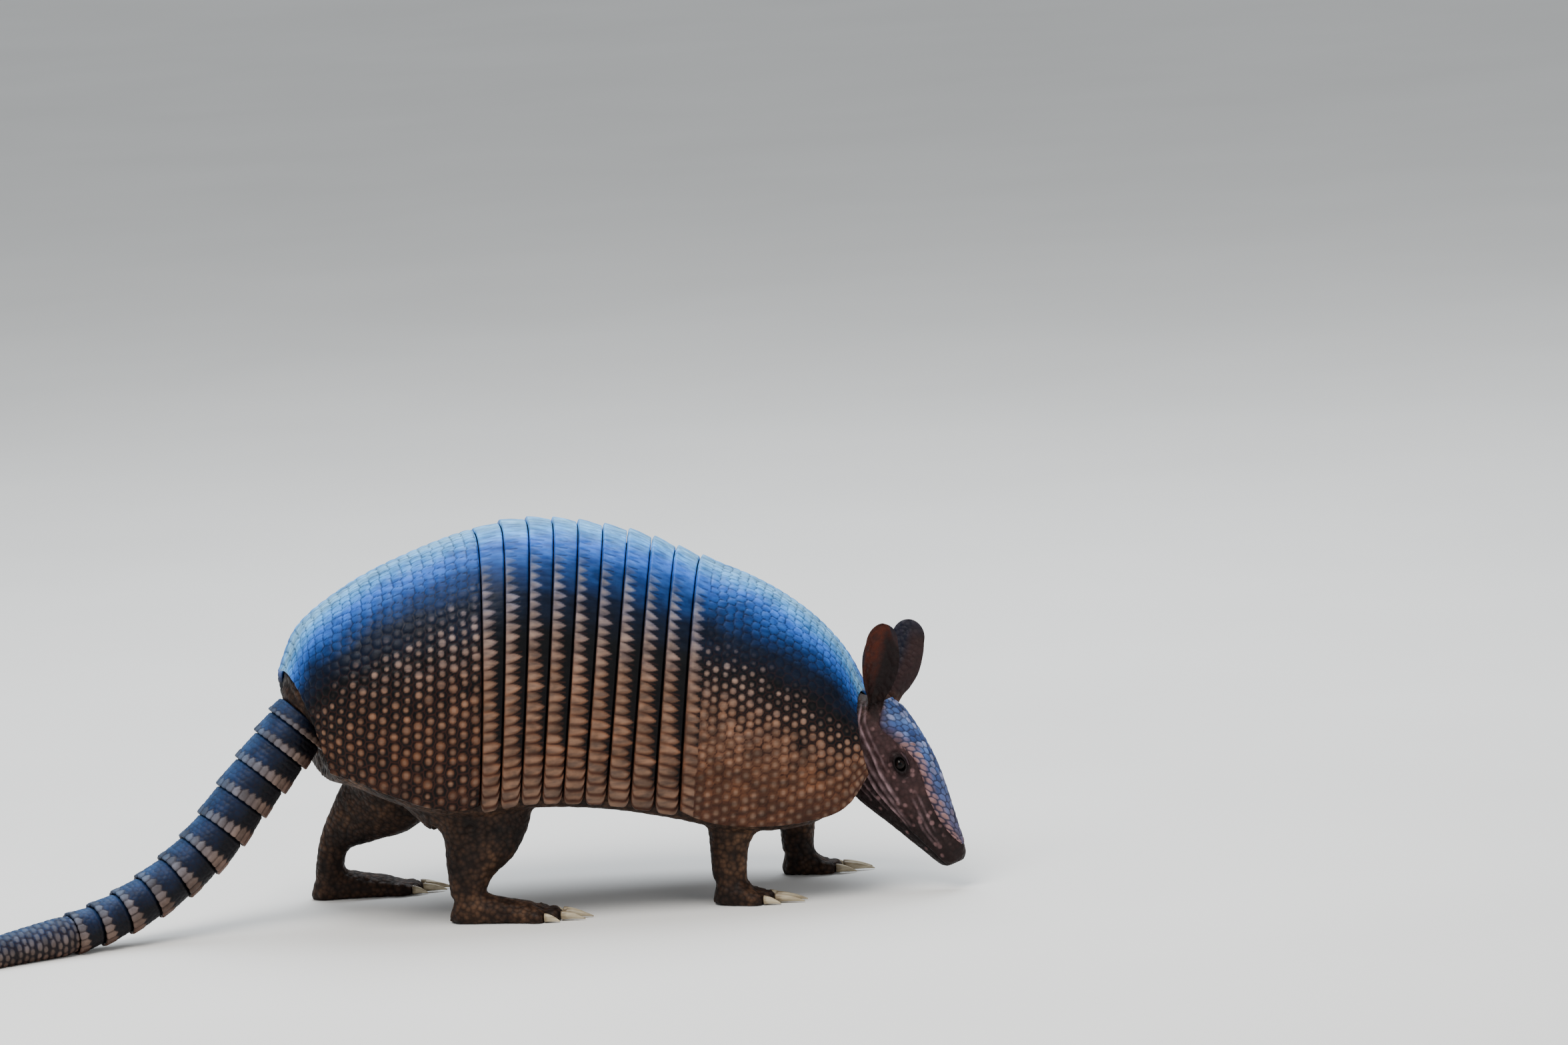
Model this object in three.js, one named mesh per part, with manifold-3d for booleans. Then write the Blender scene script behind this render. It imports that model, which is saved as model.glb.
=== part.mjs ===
// Nine-banded armadillo (Dasypus novemcinctus), life size, standing with its head down to forage.
// Millimetres. +X is toward the head, +Y is the animal's left, +Z is up, and the floor is z = 0.
// The sizes below are measured from a point on the floor under the shell. FRAME_SHIFT then moves
// the whole animal, so that the origin lies on the floor under the middle of its outline.
import * as THREE from 'three';
import Module from 'manifold-3d';

const wasm = await Module();
wasm.setup();

// ---------------------------------------------------------------- driving dimensions

const FRAME_SHIFT = [-19.5, 40, 0];
const GAP = 0.3;                  // between pieces that touch

// The body is bent toward its right side: in plan the spine is a parabola.
const BEND_MIDDLE = 150;          // x where the spine lies farthest to the left
const BEND_RADIUS = 750;

// Shell. A row is one cross line of the shell, from the rear edge to the front edge:
// [length along the back, top x, top z, rim x, rim z, half width]
const SHELL_ROWS = [
  [0, -54, 147.5, -39, 91, 43],
  [28, -41, 172.5, -26, 88, 57.5],
  [60, -14, 192, -8, 80, 67],
  [91, 15, 205.5, 14, 72, 72.5],
  [137, 60, 219.5, 46, 67.5, 76],
  [175, 98, 222.5, 78, 70, 77],
  [230, 150, 212, 127, 66, 76],
  [274, 189, 195, 171, 57, 73],
  [299, 212, 185.5, 196, 50, 69],
  [323, 233.5, 173, 221, 47, 64],
  [347, 253, 157, 248, 47.5, 57.5],
  [372, 268.5, 137, 272, 53.5, 50],
  [396, 278, 113, 287, 71, 40.5],
];
const SHELL_LENGTH = 396;         // along the back
const PELVIC_FRONT = 137;         // where the rump shield ends and the bands begin
const SCAPULAR_REAR = 274;        // where the bands end and the shoulder shield begins
const BAND_COUNT = 9;
const SHELL_THICKNESS = 3;
const EDGE_LIFT = 1.6;            // each plate's rear edge stands proud of the plate behind it
const RIM_ANGLE = THREE.MathUtils.degToRad(108);  // the shell closes in a little below its widest line
const FLANK_FULLNESS = 0.85;      // under 1 makes the flanks fuller than a circle
const SHELL_SEGMENTS = 20;

const TRUNK_CLEARANCE = 0.9;      // between the shell's inner face and the flesh, clear of the facets
const BELLY_SAG = 9;              // how far the belly hangs below the rim

// Tail: [x, height] of its middle line, and its swing to the right on top of the bend of the body.
const TAIL_LINE = [
  [-43, 120], [-78, 80.5], [-104, 50.3], [-136, 27.2], [-171, 13.6], [-215, 8.4], [-255, 4.6], [-290, 2],
];
const TAIL_SWING = 1 / 900;
const TAIL_ROOT_RADIUS = 19;
const TAIL_TAPER = 0.62;
const TAIL_TIP_RADIUS = 1.6;
const TAIL_RING_LENGTHS = [10, 14.5, 18.5, 18.5, 20, 19.5, 19, 19, 18.5, 17, 16];
const RING_FLARE = 1.2;           // the rear edge of a ring is wider than its front edge

// Head: its nape point, its pitch below the level and its turn to the right.
const NAPE = [296, -20, 108];
const HEAD_PITCH = THREE.MathUtils.degToRad(67);
const HEAD_TURN = THREE.MathUtils.degToRad(25);
// [length from the nape, height of the profile, depth of the jaw line, half width]
const HEAD_ROWS = [
  [-11, -9.5, -22, 8.5],
  [-5.5, -3, -33, 15],
  [4, -0.8, -44, 20],
  [18, 2.6, -48.5, 20.8],
  [34, 5.2, -49.5, 18.6],
  [48, 5.4, -43.5, 16.2],
  [62, 4.2, -35, 13.6],
  [76, 2.8, -27, 11.4],
  [89, 3.9, -19.5, 9.2],
  [96, 2.8, -15.5, 7.8],
  [99.5, 0.2, -12, 5.2],
];
const JAW_NARROWING = 0.3;        // the jaw is narrower than the crown
const HEAD_MIDDLE_RISE = 0.08;    // the widest line lies above half height by this share of the height
const HEAD_SEGMENTS = 18;

// Head shield: [length from the nape, half angle over the crown in degrees]
const HEAD_SHIELD_ROWS = [
  [-3, 20], [9, 50], [20, 44], [32, 31], [44, 34], [57, 42], [70, 42], [82, 34], [91, 22],
];
const HEAD_SHIELD_THICKNESS = 1.6;

const EYE_RADIUS = 3.7;
const EYE_LENGTH = 34.5;          // from the nape
const EYE_ANGLE = THREE.MathUtils.degToRad(56);   // round the head from the crown
const EYE_DEPTH = 2.4;            // centre of the eye under the skin
const EYE_ROWS = 6;
const EYE_COLUMNS = 9;

// Ears: [height fraction, half width, how far the edges curl forward]
const EAR_HEIGHT = 49;
const EAR_ROWS = [
  [-0.08, 4, 4.2], [0.1, 5.4, 5.4], [0.22, 8.2, 6], [0.4, 10.8, 5.6], [0.6, 11.4, 4.4], [0.78, 10, 3.2],
  [0.92, 6.8, 1.8], [1, 3, 0.8],
];
const EAR_STATIONS = [-0.08, 0.1, 0.24, 0.42, 0.62, 0.8, 0.93, 1];   // height fractions
const EAR_COLUMNS = 6;
const EAR_THICKNESS = 1.7;
const EAR_EDGE_THINNING = 0.5;    // share of the thickness lost at the tip and the side edges

// Legs: rows of [x, y, z, half length, half width], from inside the trunk down to the ankle.
const LEGS = {
  hind_right: [
    [30, -34, 92, 32, 24], [54, -44, 66, 31, 21], [54, -50, 48, 24, 16], [48, -53, 32, 15, 11],
    [44, -54, 13, 9, 8.5],
  ],
  hind_left: [
    [6, 14, 92, 34, 22], [0, 24, 66, 28, 17], [-18, 34, 50, 19, 13], [-34, 40, 34, 9.5, 9],
    [-39, 40, 13, 8.5, 8.5],
  ],
  front_right: [
    [208, -26, 84, 24, 20], [202, -38, 56, 19, 15], [197, -42, 36, 12, 10.5], [196, -43, 14, 10, 9],
  ],
  front_left: [
    [218, 20, 80, 24, 20], [230, 32, 54, 18, 14], [236, 35, 34, 11.5, 10], [236, 36, 14, 9.5, 9],
  ],
};

// Feet: heel [x, y], heading in degrees, and a kind.
const FEET = {
  hind_right: { heel: [34, -54], heading: -6, kind: 'hind' },
  hind_left: { heel: [-50, 40], heading: 8, kind: 'hind' },
  front_right: { heel: [186, -43], heading: -8, kind: 'front' },
  front_left: { heel: [226, 36], heading: 2, kind: 'front' },
};
// sole: [length from the heel, half width, height]
// toes: [offset from the middle toward the outside, length of the toe past the sole, claw length]
const FOOT_KINDS = {
  hind: {
    sole: [[0, 5, 10], [6, 8.5, 16], [18, 10, 17], [36, 12, 13], [52, 13, 10]],
    toes: [[-11, 6, 9], [-6.2, 13, 14], [-0.4, 15, 16], [5.8, 13, 14], [11, 4, 9]],
    toeRadius: 3.9,
  },
  front: {
    sole: [[0, 6, 13], [5, 9, 17], [14, 10.5, 16], [24, 11, 11]],
    toes: [[-8.6, 7, 12], [-3, 12, 18], [3, 12, 17], [8.4, 6, 10]],
    toeRadius: 4,
  },
};
const TOE_OVERLAP = 14;           // how far a toe runs back into the sole
// Rings of a toe: share of its length past the sole, and factors for offset, radius and height. The first
// ring lies in the sole.
const TOE_ROWS = [[null, 0.75, 0.9, 2], [0, 1, 1, 2], [0.6, 1.04, 0.86, 1.8], [1, 1.06, 0.72, 1.5]];
const FOOT_SEGMENTS = 8;
const FOOT_MIDDLE = 0.36;         // height of the widest line of a foot's ring, as a share of its height
const CLAW_RADIUS = 2.5;
const CLAW_FLATNESS = 0.8;        // width over height
const CLAW_SEGMENTS = 6;
const CLAW_STATIONS = [0, 0.45, 1];   // share of the claw's length
const CLAW_TAPER = 0.82;          // share of the radius lost at the tip
const CLAW_TAPER_POWER = 1.4;
const CLAW_ROOT_HEIGHT = 3.1;
const CLAW_DROP = 2.4;            // from the root to the tip
const CLAW_SPREAD = 0.04;         // how far a claw leans outward, as a share of its toe's offset

// ---------------------------------------------------------------- colours

const material = (color, roughness) => new THREE.MeshStandardMaterial({ color, roughness, metalness: 0 });
const skinMaterial = material(0x4a3c3a, 0.8);
const earMaterial = material(0x5a4a4c, 0.75);
const shellMaterial = material(0x56606f, 0.5);
const bandMaterial = material(0x8a7670, 0.5);
const tailMaterial = material(0x8b8078, 0.6);
const clawMaterial = material(0xb8a98c, 0.4);
const eyeMaterial = material(0x0c0a0a, 0.1);

// ---------------------------------------------------------------- small tools

const vector = (x, y, z) => new THREE.Vector3(x, y, z);
const ANGLE_STEP = 0.03;          // for the slope of a surface across the body
const clamp01 = (value) => Math.min(1, Math.max(0, value));

function smoothstep(low, high, value) {
  const t = clamp01((value - low) / (high - low));
  return t * t * (3 - 2 * t);
}

/** A smooth curve through the rows of a table. The first column is the position along it. */
function tableCurve(rows) {
  const last = rows.length - 1;
  const slope = (row, column) => {
    const before = rows[Math.max(0, row - 1)];
    const after = rows[Math.min(last, row + 1)];
    return (after[column] - before[column]) / (after[0] - before[0]);
  };
  return (position) => {
    let row = 0;
    while (row < last - 1 && position > rows[row + 1][0]) row += 1;
    const span = rows[row + 1][0] - rows[row][0];
    const t = (position - rows[row][0]) / span;
    const weights = [
      2 * t ** 3 - 3 * t ** 2 + 1, t ** 3 - 2 * t ** 2 + t, -2 * t ** 3 + 3 * t ** 2, t ** 3 - t ** 2,
    ];
    return rows[0].slice(1).map((_, index) => {
      const column = index + 1;
      return weights[0] * rows[row][column] + weights[1] * span * slope(row, column)
        + weights[2] * rows[row + 1][column] + weights[3] * span * slope(row + 1, column);
    });
  };
}

/** A closed geometry from points and triangles, turned so that its faces point outward. */
function closedGeometry(points, triangles) {
  let volume = 0;
  for (const [a, b, c] of triangles) {
    volume += points[a].dot(points[b].clone().cross(points[c]));
  }
  const faces = volume < 0 ? triangles.map(([a, b, c]) => [a, c, b]) : triangles;
  const geometry = new THREE.BufferGeometry().setFromPoints(points);
  geometry.setIndex(faces.flat());
  geometry.computeVertexNormals();
  return geometry;
}

/** A solid skinned over closed rings of equally many points, with a cap at each end. */
function loft(rings) {
  const count = rings[0].length;
  const points = rings.flat();
  const triangles = [];
  for (let ring = 0; ring < rings.length - 1; ring += 1) {
    for (let i = 0; i < count; i += 1) {
      const a = ring * count + i;
      const b = ring * count + (i + 1) % count;
      triangles.push([a, b, b + count], [a, b + count, a + count]);
    }
  }
  const addCap = (start, flip) => {
    const middle = vector(0, 0, 0);
    for (let i = 0; i < count; i += 1) middle.addScaledVector(points[start + i], 1 / count);
    points.push(middle);
    for (let i = 0; i < count; i += 1) {
      const a = start + i;
      const b = start + (i + 1) % count;
      triangles.push(flip ? [b, a, points.length - 1] : [a, b, points.length - 1]);
    }
  };
  addCap(0, true);
  addCap((rings.length - 1) * count, false);
  return closedGeometry(points, triangles);
}

/** A solid between two open grids of points, such as the two faces of a plate. */
function sheet(outer, inner) {
  const rows = outer.length;
  const columns = outer[0].length;
  const points = [...outer.flat(), ...inner.flat()];
  const out = (row, column) => row * columns + column;
  const inn = (row, column) => rows * columns + row * columns + column;
  const triangles = [];
  const quad = (a, b, c, d) => triangles.push([a, b, c], [a, c, d]);
  for (let r = 0; r < rows - 1; r += 1) {
    for (let c = 0; c < columns - 1; c += 1) {
      quad(out(r, c), out(r, c + 1), out(r + 1, c + 1), out(r + 1, c));
      quad(inn(r, c), inn(r + 1, c), inn(r + 1, c + 1), inn(r, c + 1));
    }
    quad(out(r, 0), out(r + 1, 0), inn(r + 1, 0), inn(r, 0));
    quad(out(r, columns - 1), inn(r, columns - 1), inn(r + 1, columns - 1), out(r + 1, columns - 1));
  }
  for (let c = 0; c < columns - 1; c += 1) {
    quad(out(0, c), inn(0, c), inn(0, c + 1), out(0, c + 1));
    quad(out(rows - 1, c), out(rows - 1, c + 1), inn(rows - 1, c + 1), inn(rows - 1, c));
  }
  return closedGeometry(points, triangles);
}

/** A limb: rings square to a path, each with its own half length and half width. */
function limb(rows, segments, grow = 0) {
  const centres = rows.map(([x, y, z]) => vector(x, y, z));
  const rings = rows.map((row, index) => {
    const before = centres[Math.max(0, index - 1)];
    const after = centres[Math.min(rows.length - 1, index + 1)];
    const along = after.clone().sub(before).normalize();
    const side = vector(0, 1, 0).addScaledVector(along, -along.y).normalize();
    const front = side.clone().cross(along);
    return Array.from({ length: segments }, (_, i) => {
      const angle = (2 * Math.PI * i) / segments;
      return centres[index].clone()
        .addScaledVector(front, (row[3] + grow) * Math.cos(angle))
        .addScaledVector(side, (row[4] + grow) * Math.sin(angle));
    });
  });
  return loft(rings);
}

function toSolid(geometry) {
  return new wasm.Manifold(new wasm.Mesh({
    numProp: 3,
    vertProperties: Float32Array.from(geometry.attributes.position.array),
    triVerts: Uint32Array.from(geometry.index.array),
  }));
}

/** The largest body of a solid, as a geometry. Small chips left by a cut are dropped. */
function toGeometry(solid) {
  const bodies = solid.decompose();
  const largest = bodies.reduce((best, body) => (body.volume() > best.volume() ? body : best));
  const mesh = largest.getMesh();
  const geometry = new THREE.BufferGeometry();
  geometry.setAttribute('position', new THREE.BufferAttribute(mesh.vertProperties, mesh.numProp));
  geometry.setIndex(new THREE.BufferAttribute(mesh.triVerts, 1));
  geometry.computeVertexNormals();
  return geometry;
}

function cut(geometry, ...cutters) {
  return toGeometry(cutters.reduce((solid, cutter) => solid.subtract(toSolid(cutter)), toSolid(geometry)));
}

function join(geometries) {
  return toGeometry(geometries.map(toSolid).reduce((whole, piece) => whole.add(piece)));
}

const armadillo = new THREE.Group();
armadillo.position.set(...FRAME_SHIFT);

function addPiece(name, geometry, pieceMaterial) {
  const mesh = new THREE.Mesh(geometry, pieceMaterial);
  mesh.name = name;
  armadillo.add(mesh);
}

// ---------------------------------------------------------------- shell

const spineY = (x) => -((x - BEND_MIDDLE) ** 2) / (2 * BEND_RADIUS);
const spineYaw = (x) => Math.atan(-(x - BEND_MIDDLE) / BEND_RADIUS);
const shellRow = tableCurve(SHELL_ROWS);

/** Point of the shell's outer face: s along the back from the rear edge, v from -1 (right rim) to 1 (left). */
function shellSurface(s, v) {
  const [topX, topZ, rimX, rimZ, halfWidth] = shellRow(s);
  const angle = v * RIM_ANGLE;
  const rise = (Math.cos(angle) - Math.cos(RIM_ANGLE)) / (1 - Math.cos(RIM_ANGLE));
  const reach = Math.sign(angle) * Math.abs(Math.sin(angle)) ** FLANK_FULLNESS * halfWidth;
  const x = rimX + (topX - rimX) * rise;
  const z = rimZ + (topZ - rimZ) * rise;
  const yaw = spineYaw(x);
  return vector(x - Math.sin(yaw) * reach, spineY(x) + Math.cos(yaw) * reach, z);
}

/** Point at a distance outside (or, if negative, inside) the shell's outer face. */
function shellPoint(s, v, distance) {
  const alongBack = shellSurface(s + 1, v).sub(shellSurface(s - 1, v));
  const across = shellSurface(s, v + ANGLE_STEP).sub(shellSurface(s, v - ANGLE_STEP));
  return shellSurface(s, v).addScaledVector(alongBack.cross(across).normalize(), distance);
}

const shellAcross = Array.from({ length: SHELL_SEGMENTS + 1 }, (_, i) => (2 * i) / SHELL_SEGMENTS - 1);

/** One plate of the shell. lift(s, v) is how far its outer face stands above the shell's surface. */
function shellPlate(rearEdge, frontEdge, steps, lift) {
  const stations = Array.from({ length: steps + 1 }, (_, i) => {
    const s = rearEdge + ((frontEdge - rearEdge) * i) / steps;
    return i === 0 ? s + GAP : i === steps ? s - GAP : s;
  });
  const outer = stations.map((s) => shellAcross.map((v) => shellPoint(s, v, lift(s, v))));
  const inner = stations.map((s) => shellAcross.map((v) => shellPoint(s, v, -SHELL_THICKNESS)));
  return sheet(outer, inner);
}

const bandPitch = (SCAPULAR_REAR - PELVIC_FRONT) / BAND_COUNT;
const rearLift = (rearEdge) => (s) => EDGE_LIFT * clamp01(1 - (s - rearEdge) / bandPitch);

const STEP_BEGINS = 0.3;          // places between the crest (0) and the rim (1)
const STEP_FULL = 0.6;
const PELVIC_STEPS = 6;
const SCAPULAR_STEPS = 6;
addPiece('pelvic_shield', shellPlate(0, PELVIC_FRONT, PELVIC_STEPS, () => 0), shellMaterial);
for (let band = BAND_COUNT; band >= 1; band -= 1) {
  const rearEdge = PELVIC_FRONT + (BAND_COUNT - band) * bandPitch;
  const step = rearLift(rearEdge);
  // The last band is free of the rump shield only on the flanks: over the back its step fades away.
  const lift = band < BAND_COUNT ? step : (s, v) => step(s) * smoothstep(STEP_BEGINS, STEP_FULL, Math.abs(v));
  addPiece(`band_${band}`, shellPlate(rearEdge, rearEdge + bandPitch, 1, lift), bandMaterial);
}
const scapularLift = rearLift(SCAPULAR_REAR);
addPiece('scapular_shield', shellPlate(SCAPULAR_REAR, SHELL_LENGTH, SCAPULAR_STEPS, scapularLift), shellMaterial);

// ---------------------------------------------------------------- tail

const tailCurve = new THREE.CatmullRomCurve3(TAIL_LINE.map(([x, z]) => {
  const [rootX] = TAIL_LINE[0];
  const y = spineY(rootX) + Math.tan(spineYaw(rootX)) * (x - rootX) - TAIL_SWING * (x - rootX) ** 2;
  return vector(x, y, z);
}), false, 'centripetal');
const tailLength = tailCurve.getLength();

function tailRadius(length) {
  return TAIL_TIP_RADIUS + (TAIL_ROOT_RADIUS - TAIL_TIP_RADIUS) * (1 - length / tailLength) ** TAIL_TAPER;
}

/** Ring of points round the tail. Where the tail lies on the floor, its underside is flat. */
function tailSection(length, radius, segments) {
  const u = clamp01(length / tailLength);
  const centre = tailCurve.getPointAt(u);
  const along = tailCurve.getTangentAt(u);
  const side = vector(0, 0, 1).cross(along).normalize();
  const up = along.clone().cross(side);
  return Array.from({ length: segments }, (_, i) => {
    const angle = (2 * Math.PI * i) / segments;
    const point = centre.clone()
      .addScaledVector(up, radius * Math.cos(angle))
      .addScaledVector(side, radius * Math.sin(angle));
    point.z = Math.max(point.z, 0);
    return point;
  });
}

const TAIL_SEGMENTS = 12;
const TAIL_END_SEGMENTS = 10;
const RING_WAIST = 0.6;           // where the flare of a ring begins, as a share of its length
let ringStart = 0;
TAIL_RING_LENGTHS.forEach((length, index) => {
  const ringEnd = ringStart + length;
  const rings = [
    tailSection(ringStart + 2 * GAP, tailRadius(ringStart) - RING_FLARE, TAIL_SEGMENTS),
    tailSection(ringStart + RING_WAIST * length, tailRadius(ringStart + RING_WAIST * length), TAIL_SEGMENTS),
    tailSection(ringEnd - GAP, tailRadius(ringEnd) + RING_FLARE / 2, TAIL_SEGMENTS),
  ];
  addPiece(`tail_ring_${index + 1}`, loft(rings), tailMaterial);
  ringStart = ringEnd;
});
const TAIL_END_STEPS = 9;
const tailEndRings = Array.from({ length: TAIL_END_STEPS + 1 }, (_, i) => {
  const length = ringStart + GAP + ((tailLength - ringStart - GAP) * i) / TAIL_END_STEPS;
  return tailSection(length, tailRadius(length) - (i === 0 ? RING_FLARE : 0), TAIL_END_SEGMENTS);
});
addPiece('tail_end', loft(tailEndRings), tailMaterial);

// ---------------------------------------------------------------- trunk

const BELLY_STEPS = 6;
// [station, how much deeper under the shell]: the shoulders draw in toward the neck
const TRUNK_ROWS = [
  [2.5, 0], [20, 0], [40, 0], [60, 0], [91, 0], [120, 0], [152, 0], [183, 0], [213, 0], [244, 0], [274, 0], [305, 0],
  [335, 0], [347, 3], [358, 9], [366, 18],
];

/** Closed ring of the trunk at station s: under the shell, then across the belly. */
function trunkSection(s, deeper, grow) {
  const inside = -(SHELL_THICKNESS + TRUNK_CLEARANCE + deeper) + grow;
  const ring = shellAcross.map((v) => shellPoint(s, v, inside));
  const left = ring[ring.length - 1];
  const right = ring[0];
  const middle = left.clone().add(right).multiplyScalar(0.5);
  const half = left.clone().sub(right).multiplyScalar(0.5);
  for (let i = 1; i <= BELLY_STEPS; i += 1) {
    const angle = (Math.PI * i) / (BELLY_STEPS + 1);
    const point = middle.clone().addScaledVector(half, Math.cos(angle));
    point.z -= (BELLY_SAG + grow) * Math.sin(angle);
    ring.push(point);
  }
  return ring;
}

/** The ring where the trunk meets the tail, its points in the same order as a trunk section's. */
function tailRootSection(length, radius) {
  const centre = tailCurve.getPointAt(length / tailLength);
  const along = tailCurve.getTangentAt(length / tailLength);
  const side = vector(0, 0, 1).cross(along).normalize().negate();
  const up = side.clone().cross(along);
  const upper = shellAcross.map((v) => v * RIM_ANGLE);
  const lower = Array.from({ length: BELLY_STEPS }, (_, i) => (
    RIM_ANGLE + ((2 * Math.PI - 2 * RIM_ANGLE) * (i + 1)) / (BELLY_STEPS + 1)
  ));
  return [...upper, ...lower].map((angle) => centre.clone()
    .addScaledVector(up, radius * Math.cos(angle))
    .addScaledVector(side, radius * Math.sin(angle)));
}

function trunkGeometry(grow) {
  return loft([
    tailRootSection(0, TAIL_ROOT_RADIUS - RING_FLARE + grow),
    ...TRUNK_ROWS.map(([s, deeper]) => trunkSection(s, deeper, grow)),
  ]);
}

// ---------------------------------------------------------------- head

const headForward = vector(
  Math.cos(HEAD_PITCH) * Math.cos(HEAD_TURN), -Math.cos(HEAD_PITCH) * Math.sin(HEAD_TURN), -Math.sin(HEAD_PITCH),
);
const headLeft = vector(Math.sin(HEAD_TURN), Math.cos(HEAD_TURN), 0);
const headUp = headForward.clone().cross(headLeft);
const headRow = tableCurve(HEAD_ROWS);

/** Point of the head: length from the nape, angle from the crown toward the left. */
function headSurface(length, angle) {
  const [top, jaw, halfWidth] = headRow(length);
  const middle = (top + jaw) / 2 + (top - jaw) * HEAD_MIDDLE_RISE;
  const height = Math.cos(angle) > 0 ? top - middle : middle - jaw;
  const narrowing = 1 - JAW_NARROWING * smoothstep(0, 1, -Math.cos(angle));
  return vector(...NAPE)
    .addScaledVector(headForward, length)
    .addScaledVector(headUp, middle + height * Math.cos(angle))
    .addScaledVector(headLeft, halfWidth * narrowing * Math.sin(angle));
}

/** Point at a distance outside (or, if negative, inside) the head's surface. */
function headPoint(length, angle, distance) {
  const along = headSurface(length + 1, angle).sub(headSurface(length - 1, angle));
  const round = headSurface(length, angle + ANGLE_STEP).sub(headSurface(length, angle - ANGLE_STEP));
  return headSurface(length, angle).addScaledVector(along.cross(round).normalize(), distance);
}

function headGeometry(grow) {
  const rings = HEAD_ROWS.map(([length]) => Array.from({ length: HEAD_SEGMENTS }, (_, i) => (
    headPoint(length, (2 * Math.PI * i) / HEAD_SEGMENTS, grow)
  )));
  return loft(rings);
}

const eyeCentres = {
  left: headPoint(EYE_LENGTH, EYE_ANGLE, -EYE_DEPTH),
  right: headPoint(EYE_LENGTH, -EYE_ANGLE, -EYE_DEPTH),
};

function eyeGeometry(centre, radius) {
  const rings = [];
  for (let row = 1; row < EYE_ROWS; row += 1) {
    const polar = (Math.PI * row) / EYE_ROWS;
    rings.push(Array.from({ length: EYE_COLUMNS }, (_, i) => {
      const angle = (2 * Math.PI * i) / EYE_COLUMNS;
      return vector(Math.sin(polar) * Math.cos(angle), Math.sin(polar) * Math.sin(angle), Math.cos(polar))
        .multiplyScalar(radius).add(centre);
    }));
  }
  return loft(rings);
}

addPiece('trunk', cut(trunkGeometry(0), headGeometry(GAP)), skinMaterial);
addPiece('head', cut(
  headGeometry(0),
  eyeGeometry(eyeCentres.left, EYE_RADIUS + GAP),
  eyeGeometry(eyeCentres.right, EYE_RADIUS + GAP),
), skinMaterial);
addPiece('eye_left', eyeGeometry(eyeCentres.left, EYE_RADIUS), eyeMaterial);
addPiece('eye_right', eyeGeometry(eyeCentres.right, EYE_RADIUS), eyeMaterial);

// Head shield: a thin plate over the crown and the bridge of the snout.
const HEAD_SHIELD_CLEARANCE = 3 * GAP;   // clear of the facets of the head
const HEAD_SHIELD_COLUMNS = 8;
const shieldAcross = Array.from({ length: HEAD_SHIELD_COLUMNS + 1 }, (_, i) => (2 * i) / HEAD_SHIELD_COLUMNS - 1);
const shieldGrid = (distance) => HEAD_SHIELD_ROWS.map(([length, halfAngle]) => shieldAcross.map((v) => (
  headPoint(length, v * THREE.MathUtils.degToRad(halfAngle), distance)
)));
addPiece('head_shield', sheet(
  shieldGrid(HEAD_SHIELD_CLEARANCE + HEAD_SHIELD_THICKNESS),
  shieldGrid(HEAD_SHIELD_CLEARANCE),
), shellMaterial);

// ---------------------------------------------------------------- neck

// [x, y, z, half depth, half width], from inside the trunk to inside the head
const NECK_ROWS = [[238, -8, 98, 38, 40], [257, -11, 92, 28, 35], [272, -14, 86, 21, 27], [285, -17, 82, 16, 19]];
const NECK_SEGMENTS = 12;
const neckGeometry = (grow) => limb(NECK_ROWS, NECK_SEGMENTS, grow);
addPiece('neck', cut(neckGeometry(0), trunkGeometry(GAP), headGeometry(GAP)), skinMaterial);

// ---------------------------------------------------------------- ears

const earRow = tableCurve(EAR_ROWS);
const EARS = {
  right: { root: [283.5, -26, 109], lean: 10, outward: 10, facing: -68 },
  left: { root: [293.5, -8, 106.5], lean: 19, outward: -8, facing: 68 },
};

/** A cupped leaf of skin. facing is the plan direction, in degrees, that its hollow side looks to. */
function earGeometry({ root, lean, outward, facing }) {
  const leanAngle = THREE.MathUtils.degToRad(lean);
  const outAngle = THREE.MathUtils.degToRad(outward);
  const up = vector(Math.sin(leanAngle), -Math.sin(outAngle), Math.cos(leanAngle)).normalize();
  const toward = THREE.MathUtils.degToRad(facing);
  const hollow = vector(Math.cos(toward), Math.sin(toward), 0);
  hollow.addScaledVector(up, -hollow.dot(up)).normalize();
  const across = up.clone().cross(hollow);
  const widths = Array.from({ length: EAR_COLUMNS + 1 }, (_, i) => (2 * i) / EAR_COLUMNS - 1);
  const grid = (distance) => EAR_STATIONS.map((height) => widths.map((v) => {
    const [halfWidth, curl] = earRow(height);
    const thin = 1 - EAR_EDGE_THINNING * Math.max(height, Math.abs(v));
    return vector(...root)
      .addScaledVector(up, height * EAR_HEIGHT)
      .addScaledVector(across, v * halfWidth)
      .addScaledVector(hollow, curl * v * v + distance * thin);
  }));
  return sheet(grid(EAR_THICKNESS / 2), grid(-EAR_THICKNESS / 2));
}

for (const [side, ear] of Object.entries(EARS)) {
  addPiece(`ear_${side}`, cut(earGeometry(ear), headGeometry(GAP), neckGeometry(GAP)), earMaterial);
}

// ---------------------------------------------------------------- feet and legs

/** Places a point given as [length from the heel, offset to the left, height]. */
function footPlacer({ heel, heading }) {
  const angle = THREE.MathUtils.degToRad(heading);
  return (length, offset, height) => vector(
    heel[0] + length * Math.cos(angle) - offset * Math.sin(angle),
    heel[1] + length * Math.sin(angle) + offset * Math.cos(angle),
    Math.max(0, height),
  );
}

/** Ring of a foot or toe: an oval with a flat underside on the floor. */
function footRing(place, length, offset, halfWidth, height, grow) {
  const middle = FOOT_MIDDLE * height;
  return Array.from({ length: FOOT_SEGMENTS }, (_, i) => {
    const angle = (2 * Math.PI * i) / FOOT_SEGMENTS;
    return place(
      length,
      offset + (halfWidth + grow) * Math.sin(angle),
      middle + (height - middle + grow) * Math.cos(angle),
    );
  });
}

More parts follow.
